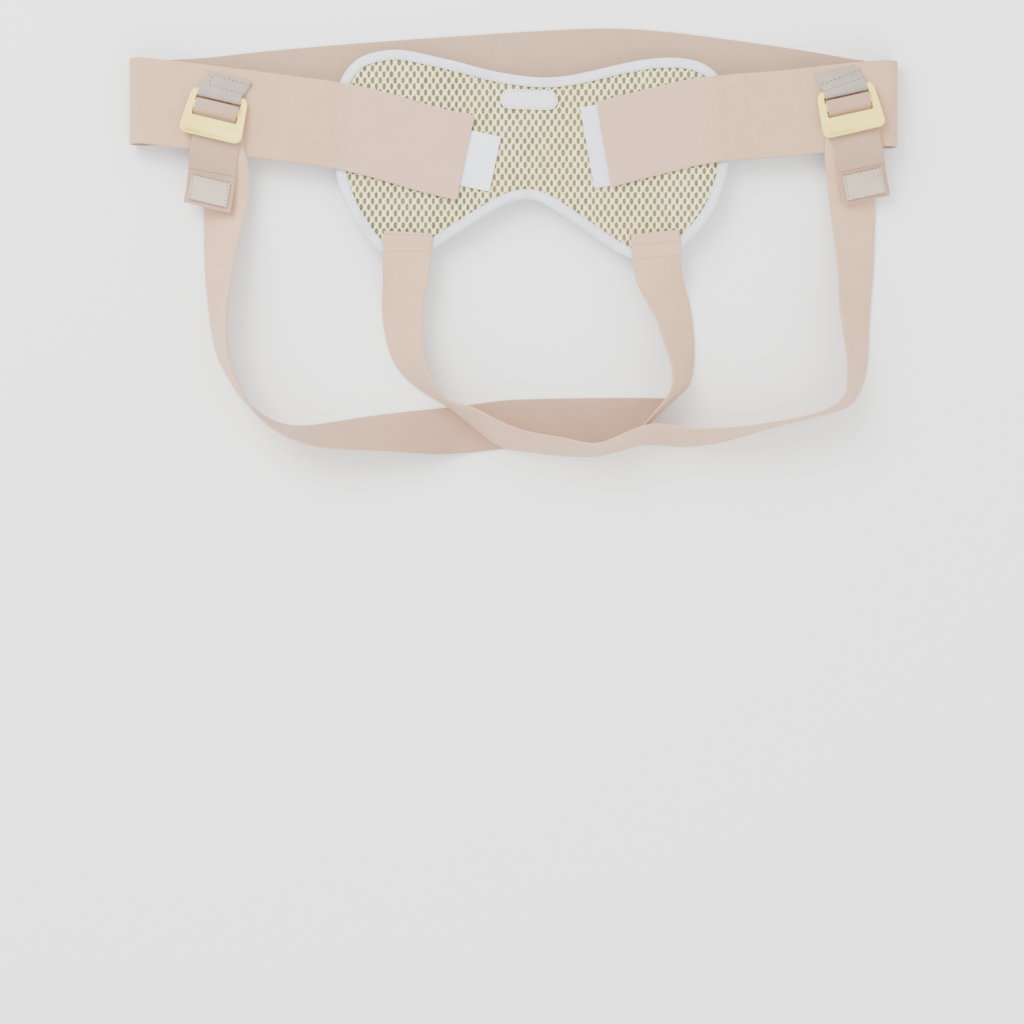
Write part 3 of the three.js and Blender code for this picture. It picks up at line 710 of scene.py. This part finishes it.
# %% [markdown]
# Every band and strap of the frame is a row of rings with four corners each. Walking from one
# end to the other, ring by ring, gives the two long edges of the strip at mid thickness. The
# new strip is grown between these edges, so it lies exactly where the frame has it, but smooth,
# with a few columns across, so that its rim can be rounded and its cloth bends softly.

# %% Walking along a strip of the frame
# a corner of an end ring has fewer edges than one further in
INNER_EDGES = 6
CRISP = 0.9 * MM


def strip_edges(node):
    """The two long edges of a strip, from end to end, and its thickness."""
    shape = merged(node)
    corners = [vert for vert in shape.verts if len(vert.link_edges) < INNER_EDGES]
    start = min(corners, key=lambda vert: vert.co.x)
    ring = [start]
    for vert in ring:
        mates = [edge.other_vert(vert) for edge in vert.link_edges]
        ring.extend(mate for mate in mates if mate in corners and mate not in ring)
    walked = set()
    first, second = [], []
    thickness = 0
    while ring:
        walked.update(ring)
        here = ring[0]
        mates = sorted(ring[1:], key=lambda vert: (vert.co - here.co).length)
        thickness = (mates[0].co - here.co).length
        one = (here.co + mates[0].co) / 2
        other = (mates[1].co + mates[2].co) / 2
        if first and (first[-1] - one).length > (first[-1] - other).length:
            one, other = other, one
        first.append(one)
        second.append(other)
        around = {edge.other_vert(vert) for vert in ring for edge in vert.link_edges}
        ring = sorted(around - walked, key=lambda vert: vert.index)
    shape.free()
    return first, second, thickness


def strip(name, node, columns, materials, rounds):
    """A strip of cloth over a strip of the frame, its outside up at its more central end.

    Lines close to its rim keep its cut corners square when it is rounded.
    """
    first, second, thickness = strip_edges(node)
    for line in (first, second):
        for tip, beside, place in ((line[0], line[1], 1), (line[-1], line[-2], -1)):
            way = beside - tip
            line.insert(place, tip + way.normalized() * min(CRISP, way.length / 3))
    border = CRISP / (second[0] - first[0]).length
    shares = [0, border, *[column / columns for column in range(1, columns)], 1 - border, 1]
    lines = [[a.lerp(b, share) for a, b in zip(first, second)] for share in shares]
    shape = grown(lines)
    shape.faces.ensure_lookup_table()
    shape.normal_update()
    probe = min((lines[0][0], lines[0][-1]), key=lambda point: abs(point.x))
    near = min(shape.faces, key=lambda face: (face.calc_center_median() - probe).length)
    if near.normal.z < 0:
        bmesh.ops.reverse_faces(shape, faces=shape.faces[:])
    thing = made(name, shape, *materials)
    thicken(thing, thickness, rounds, reverse=len(materials) > 1)
    return thing, first, second


# %% [markdown]
# The waist band comes first. It is one strip of elastic 60 mm wide that folds back on itself at
# both sides. It could be a cloth simulation, but a flat folded band has only two bends, so the
# grown strip is enough. Its outside faces up in front and down at the back.

# %% Waist band
band, band_low, band_high = strip("waist_elastic", "waist_band", 8, (band_face, band_back_and_shade), 2)
belongs(band, "elastic", "waist_band")
band_length = cut_length(band_low, band_high)
print("waist band:", len(band_low), "rings,", round(band_length / MM), "mm long")

# %% [markdown]
# The leg straps are made the same way. Each runs from a lobe of the panel round below and up to
# the slide on the other side, through it and back on itself. They are narrower than the band,
# so fewer columns are enough: more would cost faces and show nothing.

# %% Leg straps
straps = {}
for side in SIDES:
    node = f"leg_strap_{side}"
    strap, low, high = strip(f"strap_elastic_{side}", node, 6, (strap_face, strap_back_and_shade), 1)
    straps[side] = (strap, low, high)
    belongs(strap, "elastic", node)
    print("strap", side, len(low), "rings,", round(cut_length(low, high) / MM), "mm long")

# %% [markdown]
# The panel is built in layers, as the real one is: lining, ground, net, and a ribbon folded over
# the edge of all three. The ground has the form of the frame's own solid, its upper side sunk by
# the net's thickness. The lining is one sheet, the lower side of its solid, given a thin wall.

# %% Ground and lining
NET_THICKNESS = 0.9 * MM
LINING_THICKNESS = 0.8 * MM
# a face counts as lying level when its normal rises more than this
LEVEL = 0.5


def ground():
    shape = merged("panel_mesh")
    shape.normal_update()
    upper = {vert for face in shape.faces if face.normal.z > LEVEL for vert in face.verts}
    for vert in upper:
        vert.co.z -= NET_THICKNESS
    return belongs(made("panel_ground", shape, net_ground), "spacer_mesh", "panel_mesh")


panel_top = Surface(frame["nodes"]["panel_mesh"])
panel_ground = ground()


def lining():
    shape = merged("panel_lining")
    shape.normal_update()
    others = [face for face in shape.faces if face.normal.z > -LEVEL]
    bmesh.ops.delete(shape, geom=others, context="FACES")
    thing = made("panel_back_cloth", shape, white_cloth)
    wall = thing.modifiers.new("thickness", "SOLIDIFY")
    wall.thickness = LINING_THICKNESS
    wall.offset = -1
    return belongs(thing, "white_cloth", "panel_lining")


panel_back = lining()

# %% [markdown]
# The net has more than a thousand holes. A bump would look flat from the side, and an array of
# one mesh would need the panel's outline cut out. Here a honeycomb of six-sided circles is laid
# over the panel, joined, and every cell inset: the insets are the threads and the cells left in
# them are deleted as the holes. Then each corner is lowered onto the panel with a ray, and those
# past its edge are drawn back to it, under the binding.

# %% Net
CELL_WIDTH = 5.3 * MM
ROW_STEP = 4.2 * MM
THREAD_SHARE = 0.2
HOLE_WIDTH = 0.48
HOLE_HEIGHT = 1.0
HOLE_JITTER = 0.16 * MM
HOLE_WIDTHS = (0.85, 1.1)
HOLE_HEIGHTS = (0.93, 1.03)
THREAD_CROWN = 0.35 * MM
NET_SINK = 0.45 * NET_THICKNESS
NET_WALL = 0.6 * NET_THICKNESS
CELLS_MEET = 0.2 * MM
TINY_EDGE = 0.05 * MM


def net():
    low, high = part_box("panel_mesh")
    shape = bmesh.new()
    rows = int((high.y - low.y) / ROW_STEP) + 2
    columns = int((high.x - low.x) / CELL_WIDTH) + 2
    for row in range(rows):
        for column in range(columns):
            x = low.x + (column + 0.5 * (row % 2)) * CELL_WIDTH
            y = low.y + row * ROW_STEP
            if panel_top.drop(Vector((x, y, 0)))[0] is None:
                continue
            size = Matrix.Diagonal((CELL_WIDTH / math.sqrt(3), ROW_STEP / 1.5, 1, 1))
            cell = Matrix.Translation((x, y, 0)) @ size
            bmesh.ops.create_circle(shape, cap_ends=True, segments=6, radius=1, matrix=cell)
    bmesh.ops.remove_doubles(shape, verts=shape.verts, dist=CELLS_MEET)
    cells = shape.faces[:]
    bmesh.ops.inset_individual(shape, faces=cells, thickness=THREAD_SHARE * ROW_STEP)
    chance = random.Random(7)
    for cell in cells:
        middle = cell.calc_center_median()
        aside = chance.uniform(-HOLE_JITTER, HOLE_JITTER)
        wide = chance.uniform(*HOLE_WIDTHS) * HOLE_WIDTH * CELL_WIDTH / 2
        tall = chance.uniform(*HOLE_HEIGHTS) * HOLE_HEIGHT * ROW_STEP / 1.5
        for vert in cell.verts:
            away = vert.co - middle
            tip = abs(away.x) < CELLS_MEET
            vert.co.x = middle.x + aside + (0 if tip else math.copysign(wide, away.x))
            vert.co.y = middle.y + math.copysign(tall if tip else tall * 0.5, away.y)
            vert.co.z = -THREAD_CROWN
    bmesh.ops.delete(shape, geom=cells, context="FACES_ONLY")
    tree = panel_top.trees[0]
    for vert in shape.verts:
        crown = vert.co.z
        top, _ = panel_top.drop(vert.co)
        if top is None:
            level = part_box("panel_mesh")[1].z
            top = tree.find_nearest(Vector((vert.co.x, vert.co.y, level)))[0]
            vert.co.x, vert.co.y = top.x, top.y
        vert.co.z = top.z + crown - NET_SINK
    bmesh.ops.dissolve_degenerate(shape, dist=TINY_EDGE, edges=shape.edges)
    shape.normal_update()
    if sum(face.normal.z for face in shape.faces) < 0:
        bmesh.ops.reverse_faces(shape, faces=shape.faces[:])
    print("net:", len(cells), "holes")
    thing = made("panel_net", shape, net_thread)
    wall = thing.modifiers.new("thickness", "SOLIDIFY")
    wall.thickness = NET_WALL
    wall.offset = 0
    return belongs(thing, "spacer_mesh")


panel_net = net()

# %% [markdown]
# The binding is a ribbon folded round the panel's edge. A curve with a bevel would twist at the
# ends, so it is grown as a sheet too: the panel's outline is walked once, and the line is moved
# inwards over the top, out round the edge and in again underneath, ten lines in all.

# %% Binding
RING_START = Vector((1.0, 0.3, 0.0))


def outline(node):
    """The edge of a flat solid as a ring of points, with the way inwards at each of them.

    A set of edges has another order in each run, so the ring is turned to begin at the point
    that lies farthest to one side. Its stitches are then the same every time.
    """
    shape = merged(node)
    shape.normal_update()
    top = [face for face in shape.faces if face.normal.z > LEVEL]
    count = {}
    for face in top:
        for edge in face.edges:
            count[edge] = count.get(edge, 0) + 1
    rim = {edge for edge, times in count.items() if times == 1}
    start = max((v for edge in rim for v in edge.verts), key=lambda v: v.co.x)
    ring, last = [start], None
    vert = start
    while True:
        edge = next(e for e in vert.link_edges if e in rim and e is not last)
        last, vert = edge, edge.other_vert(vert)
        if vert is start:
            break
        ring.append(vert)
    points = [v.co.copy() for v in ring]
    shape.free()
    area = sum(a.x * b.y - b.x * a.y for a, b in zip(points, points[1:] + points[:1]))
    if area < 0:
        points.reverse()
    first = max(range(len(points)), key=lambda k: points[k].dot(RING_START))
    points = points[first:] + points[:first]
    inward = []
    for k, point in enumerate(points):
        ahead = points[(k + 1) % len(points)] - points[k - 1]
        inward.append(Vector((-ahead.y, ahead.x, 0)).normalized())
    return points, inward


BINDING_THICKNESS = 0.85 * MM
# inset from the panel's edge and height over its top, in millimetres, round the folded ribbon
BINDING_FOLD = [
    (5.8, 0.5),
    (4.2, 0.7),
    (1.2, 0.8),
    (-0.5, 0.4),
    (-0.95, -0.8),
    (-0.95, -3.0),
    (-0.5, -4.2),
    (1.2, -4.6),
    (4.6, -4.6),
    (6.8, -4.4),
]
rim, inward = outline("panel_mesh")


def binding():
    lines = []
    for inset, height in BINDING_FOLD:
        line = []
        for point, way in zip(rim, inward):
            place = point + way * inset * MM
            top, _ = panel_top.drop(place)
            level = top.z if top is not None else point.z
            line.append(Vector((place.x, place.y, level + height * MM)))
        lines.append(line)
    shape = grown(lines, closed=True)
    bmesh.ops.recalc_face_normals(shape, faces=shape.faces[:])
    thing = made("panel_ribbon", shape, binding_ribbon)
    return belongs(thicken(thing, BINDING_THICKNESS, 2), "white_cloth", "panel_binding")


panel_ribbon = binding()
print("binding:", len(rim), "points round")

# %% [markdown]
# The pads are stuffed, so they are blown up like little cushions. Each starts as rings of points
# on the outline of the frame's solid, from the middle of its face out over the rim and in again
# at its back. Then a cloth simulation swells it from inside for twenty steps, where no point may
# move further than a few millimetres. Moving points by hand could not give such even bulges.

# %% Cushion by simulation
# share of the outline's size and share of the height, from the face's middle round to the back's
CUSHION_PROFILE = [
    (0.06, 0.0),
    (0.5, 0.0),
    (0.78, 0.05),
    (0.9, 0.16),
    (0.96, 0.36),
    (0.975, 0.6),
    (0.97, 0.85),
    (0.93, 1.0),
    (0.5, 1.0),
    (0.06, 1.0),
]
RING_STEP = 3.5 * MM
SWELL_CAP = 2.5 * MM
SWELL_STEPS = 20
SWELL_PRESSURE = 4


def cushion_lines(node):
    """Rings of points a few millimetres apart, all round a cushion of the solid's outline."""
    low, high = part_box(node)
    middle = (low + high) / 2
    ring, _ = outline(node)
    reach = (high.x - low.x) / 2
    profile = []
    for (share, rise), (next_share, next_rise) in zip(CUSHION_PROFILE, CUSHION_PROFILE[1:]):
        run = math.hypot((next_share - share) * reach, (next_rise - rise) * (high.z - low.z))
        parts = max(1, round(run / RING_STEP))
        for part in range(parts):
            done = part / parts
            profile.append((share + (next_share - share) * done, rise + (next_rise - rise) * done))
    profile.append(CUSHION_PROFILE[-1])
    lines = []
    for share, rise in profile:
        z = low.z + rise * (high.z - low.z)
        flat = [middle + (point - middle) * share for point in ring]
        lines.append([Vector((point.x, point.y, z)) for point in flat])
    return lines


def applied(thing):
    """Replaces an object's mesh by what its modifiers make of it."""
    graph = bpy.context.evaluated_depsgraph_get()
    mesh = bpy.data.meshes.new_from_object(thing.evaluated_get(graph))
    thing.modifiers.clear()
    thing.data = mesh


def stuffed(name, node, material):
    """A cushion swollen from the solid's outline, kept between its lower and upper side."""
    low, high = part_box(node)
    shape = grown(cushion_lines(node), closed=True)
    bmesh.ops.holes_fill(shape, edges=shape.edges[:], sides=0)
    bmesh.ops.recalc_face_normals(shape, faces=shape.faces[:])
    thing = made(name, shape, material)
    rest = [vert.co.copy() for vert in thing.data.vertices]
    swollen = thing.modifiers.new("swelling", "CLOTH")
    swollen.settings.use_pressure = True
    swollen.settings.uniform_pressure_force = SWELL_PRESSURE
    swollen.settings.effector_weights.gravity = 0
    scene = bpy.context.scene
    for step in range(1, SWELL_STEPS + 1):
        scene.frame_set(step)
    applied(thing)
    scene.frame_set(1)
    for vert, was in zip(thing.data.vertices, rest):
        move = vert.co - was
        if move.length > SWELL_CAP:
            move = move.normalized() * SWELL_CAP
        vert.co = was + move
        vert.co.z = min(max(vert.co.z, low.z), high.z)
    for polygon in thing.data.polygons:
        polygon.use_smooth = True
    return rounded(thing, 1)


for side in SIDES:
    cushion = stuffed(f"pad_cushion_{side}", f"pad_face_{side}", velour)
    belongs(cushion, "velour", f"pad_face_{side}")
    print("cushion", side, len(cushion.data.vertices), "points")

# %% [markdown]
# Each pad stands on a white bound plate. It could be grown like the cushion, but the frame's solid
# has the right outline, so a copy is only rounded. Its overcast stitches come further down.

# %% Pad plates
plates = {}
for side in SIDES:
    plate = made(f"pad_plate_{side}", merged(f"pad_base_{side}"), white_cloth)
    plates[side] = belongs(rounded(plate, 1), "white_cloth", f"pad_base_{side}")
    print("plate", side, len(plate.data.polygons), "faces")

# %% [markdown]
# The slides are moulded. The frame has their bars and slots, so a joined copy is only moved into
# its final form: side bars that taper upwards, a fuller lower edge and a raised rim. Building
# them anew would risk a slide that no longer fits its strap. The grey loops are copies too, with
# a small bevel, as a ribbon's edge is soft.

# %% Slides and their loops
BEVEL_ANGLE = math.radians(28)


def softened(name, node, material, angle, width):
    """A copy of a solid with small bevels, shaded smoothly up to an angle in degrees."""
    thing = made(name, merged(node), material)
    edges = thing.modifiers.new("soft edges", "BEVEL")
    edges.width = width
    edges.segments = 2
    edges.limit_method = "ANGLE"
    edges.angle_limit = BEVEL_ANGLE
    thing.data.set_sharp_from_angle(angle=math.radians(angle))
    return thing


# where the middle of each slide's middle bar lies, in millimetres
SLIDE_MIDDLE = {"left": (-205.8, 91.2, 0), "right": (232.1, 95.1, 0)}
SLIDE_HALF = 22 * MM
SLOT_HALF = 16 * MM
SLIDE_TOP = 11.4 * MM
SLIDE_BOTTOM = -20.7 * MM
HORN_START = -8 * MM
HORN_TAPER = 2.7 * MM
BULGE_START = -14 * MM
BOTTOM_BULGE = 1.0 * MM
FLAT_TOP = 0.97
SLIDE_SHARP = math.radians(50)
RIM_WIDTH = 0.9 * MM
RIM_DEPTH = 0.22 * MM


def slide_shape(side):
    """The frame's slide with side bars that taper to horns, a full lower edge and a raised rim."""
    shape = merged(f"buckle_{side}")
    middle = Vector(SLIDE_MIDDLE[side]) * MM
    there = Matrix.Translation(middle) @ Matrix.Rotation(SLIDE_TURN[side], 4, "Z")
    back = there.inverted()
    bmesh.ops.transform(shape, matrix=back, verts=shape.verts)
    for vert in shape.verts:
        out = (abs(vert.co.x) - SLOT_HALF) / (SLIDE_HALF - SLOT_HALF)
        up = (vert.co.y - HORN_START) / (SLIDE_TOP - HORN_START)
        taper = max(0.0, min(out, 1.0)) * max(0.0, up) ** 1.5 * HORN_TAPER
        vert.co.x -= math.copysign(taper, vert.co.x)
        down = (vert.co.y - BULGE_START) / (SLIDE_BOTTOM - BULGE_START)
        if down > 0:
            vert.co.y -= min(down, 1.0) * BOTTOM_BULGE * (1 - (vert.co.x / SLIDE_HALF) ** 2)
    shape.normal_update()
    flat = [face for face in shape.faces if face.normal.z > FLAT_TOP]
    bmesh.ops.inset_region(
        shape, faces=flat, thickness=RIM_WIDTH, depth=-RIM_DEPTH, use_even_offset=True
    )
    bmesh.ops.transform(shape, matrix=there, verts=shape.verts)
    return shape


for side in SIDES:
    slide = made(f"slide_{side}", slide_shape(side), plastic)
    slide.data.set_sharp_from_angle(angle=SLIDE_SHARP)
    belongs(slide, "buckle_plastic", f"buckle_{side}")
    print("slide", side, len(slide.data.polygons), "faces")
    loop = softened(f"slide_loop_{side}", f"buckle_loop_{side}", loop_ribbon[side], 60, 0.22 * MM)
    belongs(loop, "grey_ribbon", f"buckle_loop_{side}")

# %% [markdown]
# The small flat goods are the hook patches on the straps' free ends, the hook tapes under the
# band's ends, and the blank label. A patch follows its bent strap, so it is grown as a strip. The
# tapes and the label lie flat, so bevelled copies of their solids do.

# %% Patches, tapes and label
patches = {}
for side, tape_finish in (("left", left_tape), ("right", right_tape)):
    node = f"strap_hook_patch_{side}"
    patch, low, high = strip(f"hook_patch_{side}", node, 6, (patch_ribbon,), 1)
    patches[side] = (belongs(patch, "grey_ribbon", node), low, high)
    tape = softened(f"hook_tape_{side}", f"band_hook_tape_{side}", tape_finish, 50, 0.3 * MM)
    belongs(tape, "hook_tape", f"band_hook_tape_{side}")
label = softened("blank_label", "label_patch", label_satin, 50, 0.2 * MM)
belongs(label, "white_cloth", "label_patch")

# %% [markdown]
# Stitches are real little threads, each a stretched ball of twenty faces pressed into the cloth.
# A bump could fake them, but real ones catch light and throw a shadow. One function lays them
# along any line that is given in places on the table.

# %% Stitches
STITCH_WIDTH = 0.5 * MM
STITCH_LIFT = 0.15 * STITCH_WIDTH
BALL_FACES = 20
TOO_SHORT = 1e-9


def along_line(points, step):
    """Places a step apart on a line of points, each with the way that the line goes there."""
    places = []
    left = step / 2
    for here, there in zip(points, points[1:]):
        way = there - here
        length = way.length
        if length < TOO_SHORT:
            continue
        way.normalize()
        while left < length:
            places.append((here + way * left, way.copy()))
            left += step
        left -= length
    return places


def stitch_row(shape, points, surface, length=2.2 * MM, gap=1.0 * MM, upwards=False, turn=0.0):
    """Presses a row of stitches into a surface, each turned by an angle from the row's way."""
    for place, way in along_line(points, length + gap):
        hit, normal = surface.drop(place, upwards)
        if hit is None:
            continue
        if normal.z * (-1 if upwards else 1) < 0:
            normal = -normal
        side = normal.cross(way).normalized()
        ahead = side.cross(normal)
        if turn:
            spin = Matrix.Rotation(turn, 3, normal)
            side, ahead = spin @ side, spin @ ahead
        axes = Matrix((ahead, side, normal)).transposed().to_4x4()
        size = Matrix.Diagonal((length / 2, STITCH_WIDTH / 2, STITCH_WIDTH / 2, 1))
        where = Matrix.Translation(hit + normal * STITCH_LIFT)
        bmesh.ops.create_icosphere(shape, subdivisions=1, radius=1, matrix=where @ axes @ size)


def seams(name, rows, surface, material, slot, **settings):
    shape = bmesh.new()
    for points in rows:
        stitch_row(shape, points, surface, **settings)
    print(name, len(shape.faces) // BALL_FACES, "stitches")
    return belongs(made(name, shape, material), slot)


def between(a, b):
    return [spot(*a), spot(*b)]


# Two rows hold each strap on its lobe.
strap_tops = {
    "left": [between((385, 236), (433, 238)), between((385, 253), (432, 253))],
    "right": [between((632, 247), (677, 243)), between((632, 261), (678, 257))],
}
for side, rows in strap_tops.items():
    seams(f"strap_seam_{side}", rows, Surface(straps[side][0]), beige_thread, "elastic")

# The loops are sewn down with two rows and a row up each side between them.
loop_rows = {
    "left": [
        between((217, 79), (256, 90)),
        between((211, 88), (251, 100)),
        between((216, 79), (211, 88)),
        between((256, 90), (251, 100)),
    ],
    "right": [
        between((814, 90), (857, 74)),
        between((817, 97), (860, 82)),
        between((814, 90), (817, 97)),
        between((857, 74), (860, 82)),
    ],
}
for side, rows in loop_rows.items():
    loop = Surface(bpy.data.objects[f"slide_loop_{side}"])
    seams(f"loop_seam_{side}", rows, loop, dark_thread, "grey_ribbon", length=2.0 * MM)

# A close row of grey thread across each strap, just above its hook patch, is painted shade: it
# stands for the shadow in the fold of the turned-in end.
fold_shade_lines = {"left": ((191, 171), (236, 179)), "right": ((836, 175), (881, 166))}
both_straps = Surface(*[strap for strap, _, _ in straps.values()])
close = {"length": 1.6 * MM, "gap": 0.1 * MM}
for side, ends in fold_shade_lines.items():
    row = between(*ends)
    seams(f"end_fold_{side}", [row], both_straps, grey_thread, "elastic", **close)

# %% [markdown]
# The hook patches are boxed in with stitches, and the binding has one even row on both its
# sides, a little in from the ribbon's edge. It follows the outline that the ribbon follows.

# %% Seams of the patches and of the binding
PATCH_SEAM = 1.5 * MM
BINDING_SEAM = 4.8 * MM
LABEL_SEAM = 1.2 * MM
END_SHARE = 0.35


def inset_ring(low, high, inset):
    """A closed line inside a strip, a given distance from its edges."""
    share = inset / (high[0] - low[0]).length
    one = [a.lerp(b, share) for a, b in zip(low, high)]
    other = [b.lerp(a, share) for a, b in zip(low, high)]
    for line in (one, other):
        line[0] = line[0].lerp(line[1], END_SHARE)
        line[-1] = line[-1].lerp(line[-2], END_SHARE)
    return one + other[::-1] + one[:1]


for side, (patch, low, high) in patches.items():
    ring = inset_ring(low, high, PATCH_SEAM)
    seams(f"patch_seam_{side}", [ring], Surface(patch), dark_thread, "grey_ribbon", length=1.7 * MM)

ribbon_surface = Surface(panel_ribbon)
seam_ring = [point + way * BINDING_SEAM for point, way in zip(rim, inward)]
seam_ring.append(seam_ring[0])
seams("binding_seam_front", [seam_ring], ribbon_surface, white_thread, "white_cloth")
seams("binding_seam_back", [seam_ring], ribbon_surface, white_thread, "white_cloth", upwards=True)

# The label's edge is sewn all round, and its rows show as dotted lines on the lining.
label_rim, label_inward = outline("label_patch")
ring = [point + way * LABEL_SEAM for point, way in zip(label_rim, label_inward)]
seams("label_seam", [ring + ring[:1]], Surface(label), grey_thread, "white_cloth", length=1.4 * MM)
back_rows = [
    between((496, 96), (560, 98)),
    between((496, 106), (560, 108)),
    *strap_tops["left"],
    *strap_tops["right"],
]
backs = Surface(panel_back, panel_ribbon)
seams("back_seam", back_rows, backs, white_thread, "white_cloth", upwards=True)

# %% [markdown]
# Last come the overcast stitches round the velour: short threads that lie across its edge on the
# white plate. A ring typed by hand could miss the plate, so rays sent to its middle find its edge.

# %% Overcast edges of the pads
OVERCAST_POINTS = 150
OVERCAST_INSET = 5.0 * MM
OVERCAST = {"length": 2.8 * MM, "gap": -1.2 * MM, "upwards": True, "turn": math.radians(70)}
OUTSIDE = 0.1


def plate_ring(side, inset):
    """A ring inside a plate's outline, as far from it as the inset says."""
    low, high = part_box(f"pad_base_{side}")
    middle = (low + high) / 2
    tree = Surface(plates[side]).trees[0]
    ring = []
    for k in range(OVERCAST_POINTS + 1):
        angle = 2 * math.pi * k / OVERCAST_POINTS
        way = Vector((math.cos(angle), math.sin(angle), 0))
        hit = tree.ray_cast(middle + way * OUTSIDE, -way)[0]
        if hit is not None:
            ring.append(hit - way * inset)
    return ring


for side in SIDES:
    ring = plate_ring(side, OVERCAST_INSET)
    plate = Surface(plates[side])
    seams(f"plate_seam_{side}", [ring], plate, white_thread, "white_cloth", **OVERCAST)

# %% [markdown]
# The size that each cloth was cut to is worked out. The band and the straps are strips, the
# ground and the lining were cut to the panel's outline, and their areas are printed.

# %% What each cloth was cut to
def seams_of(*starts):
    """The stitches whose names begin in one of these ways."""
    return [thing for thing in bpy.data.objects if thing.name.startswith(starts)]


def cut_area(node):
    """The area of a flat solid's lower side."""
    shape = merged(node)
    shape.normal_update()
    area = sum(face.calc_area() for face in shape.faces if face.normal.z < -LEVEL)
    shape.free()
    return area


for side, other in zip(SIDES, SIDES[::-1]):
    strap, low, high = straps[side]
    cut_length(low, high)
panel_trim = [panel_net, panel_ribbon, label, *seams_of("binding_seam", "label_seam")]
for cloth, node, sewn_on in (
    (panel_ground, "panel_mesh", panel_trim),
    (panel_back, "panel_lining", seams_of("back_seam")),
):
    cut_area(node)
    print(cloth.name, "was cut to", round(cut_area(node), 4), "square metres")
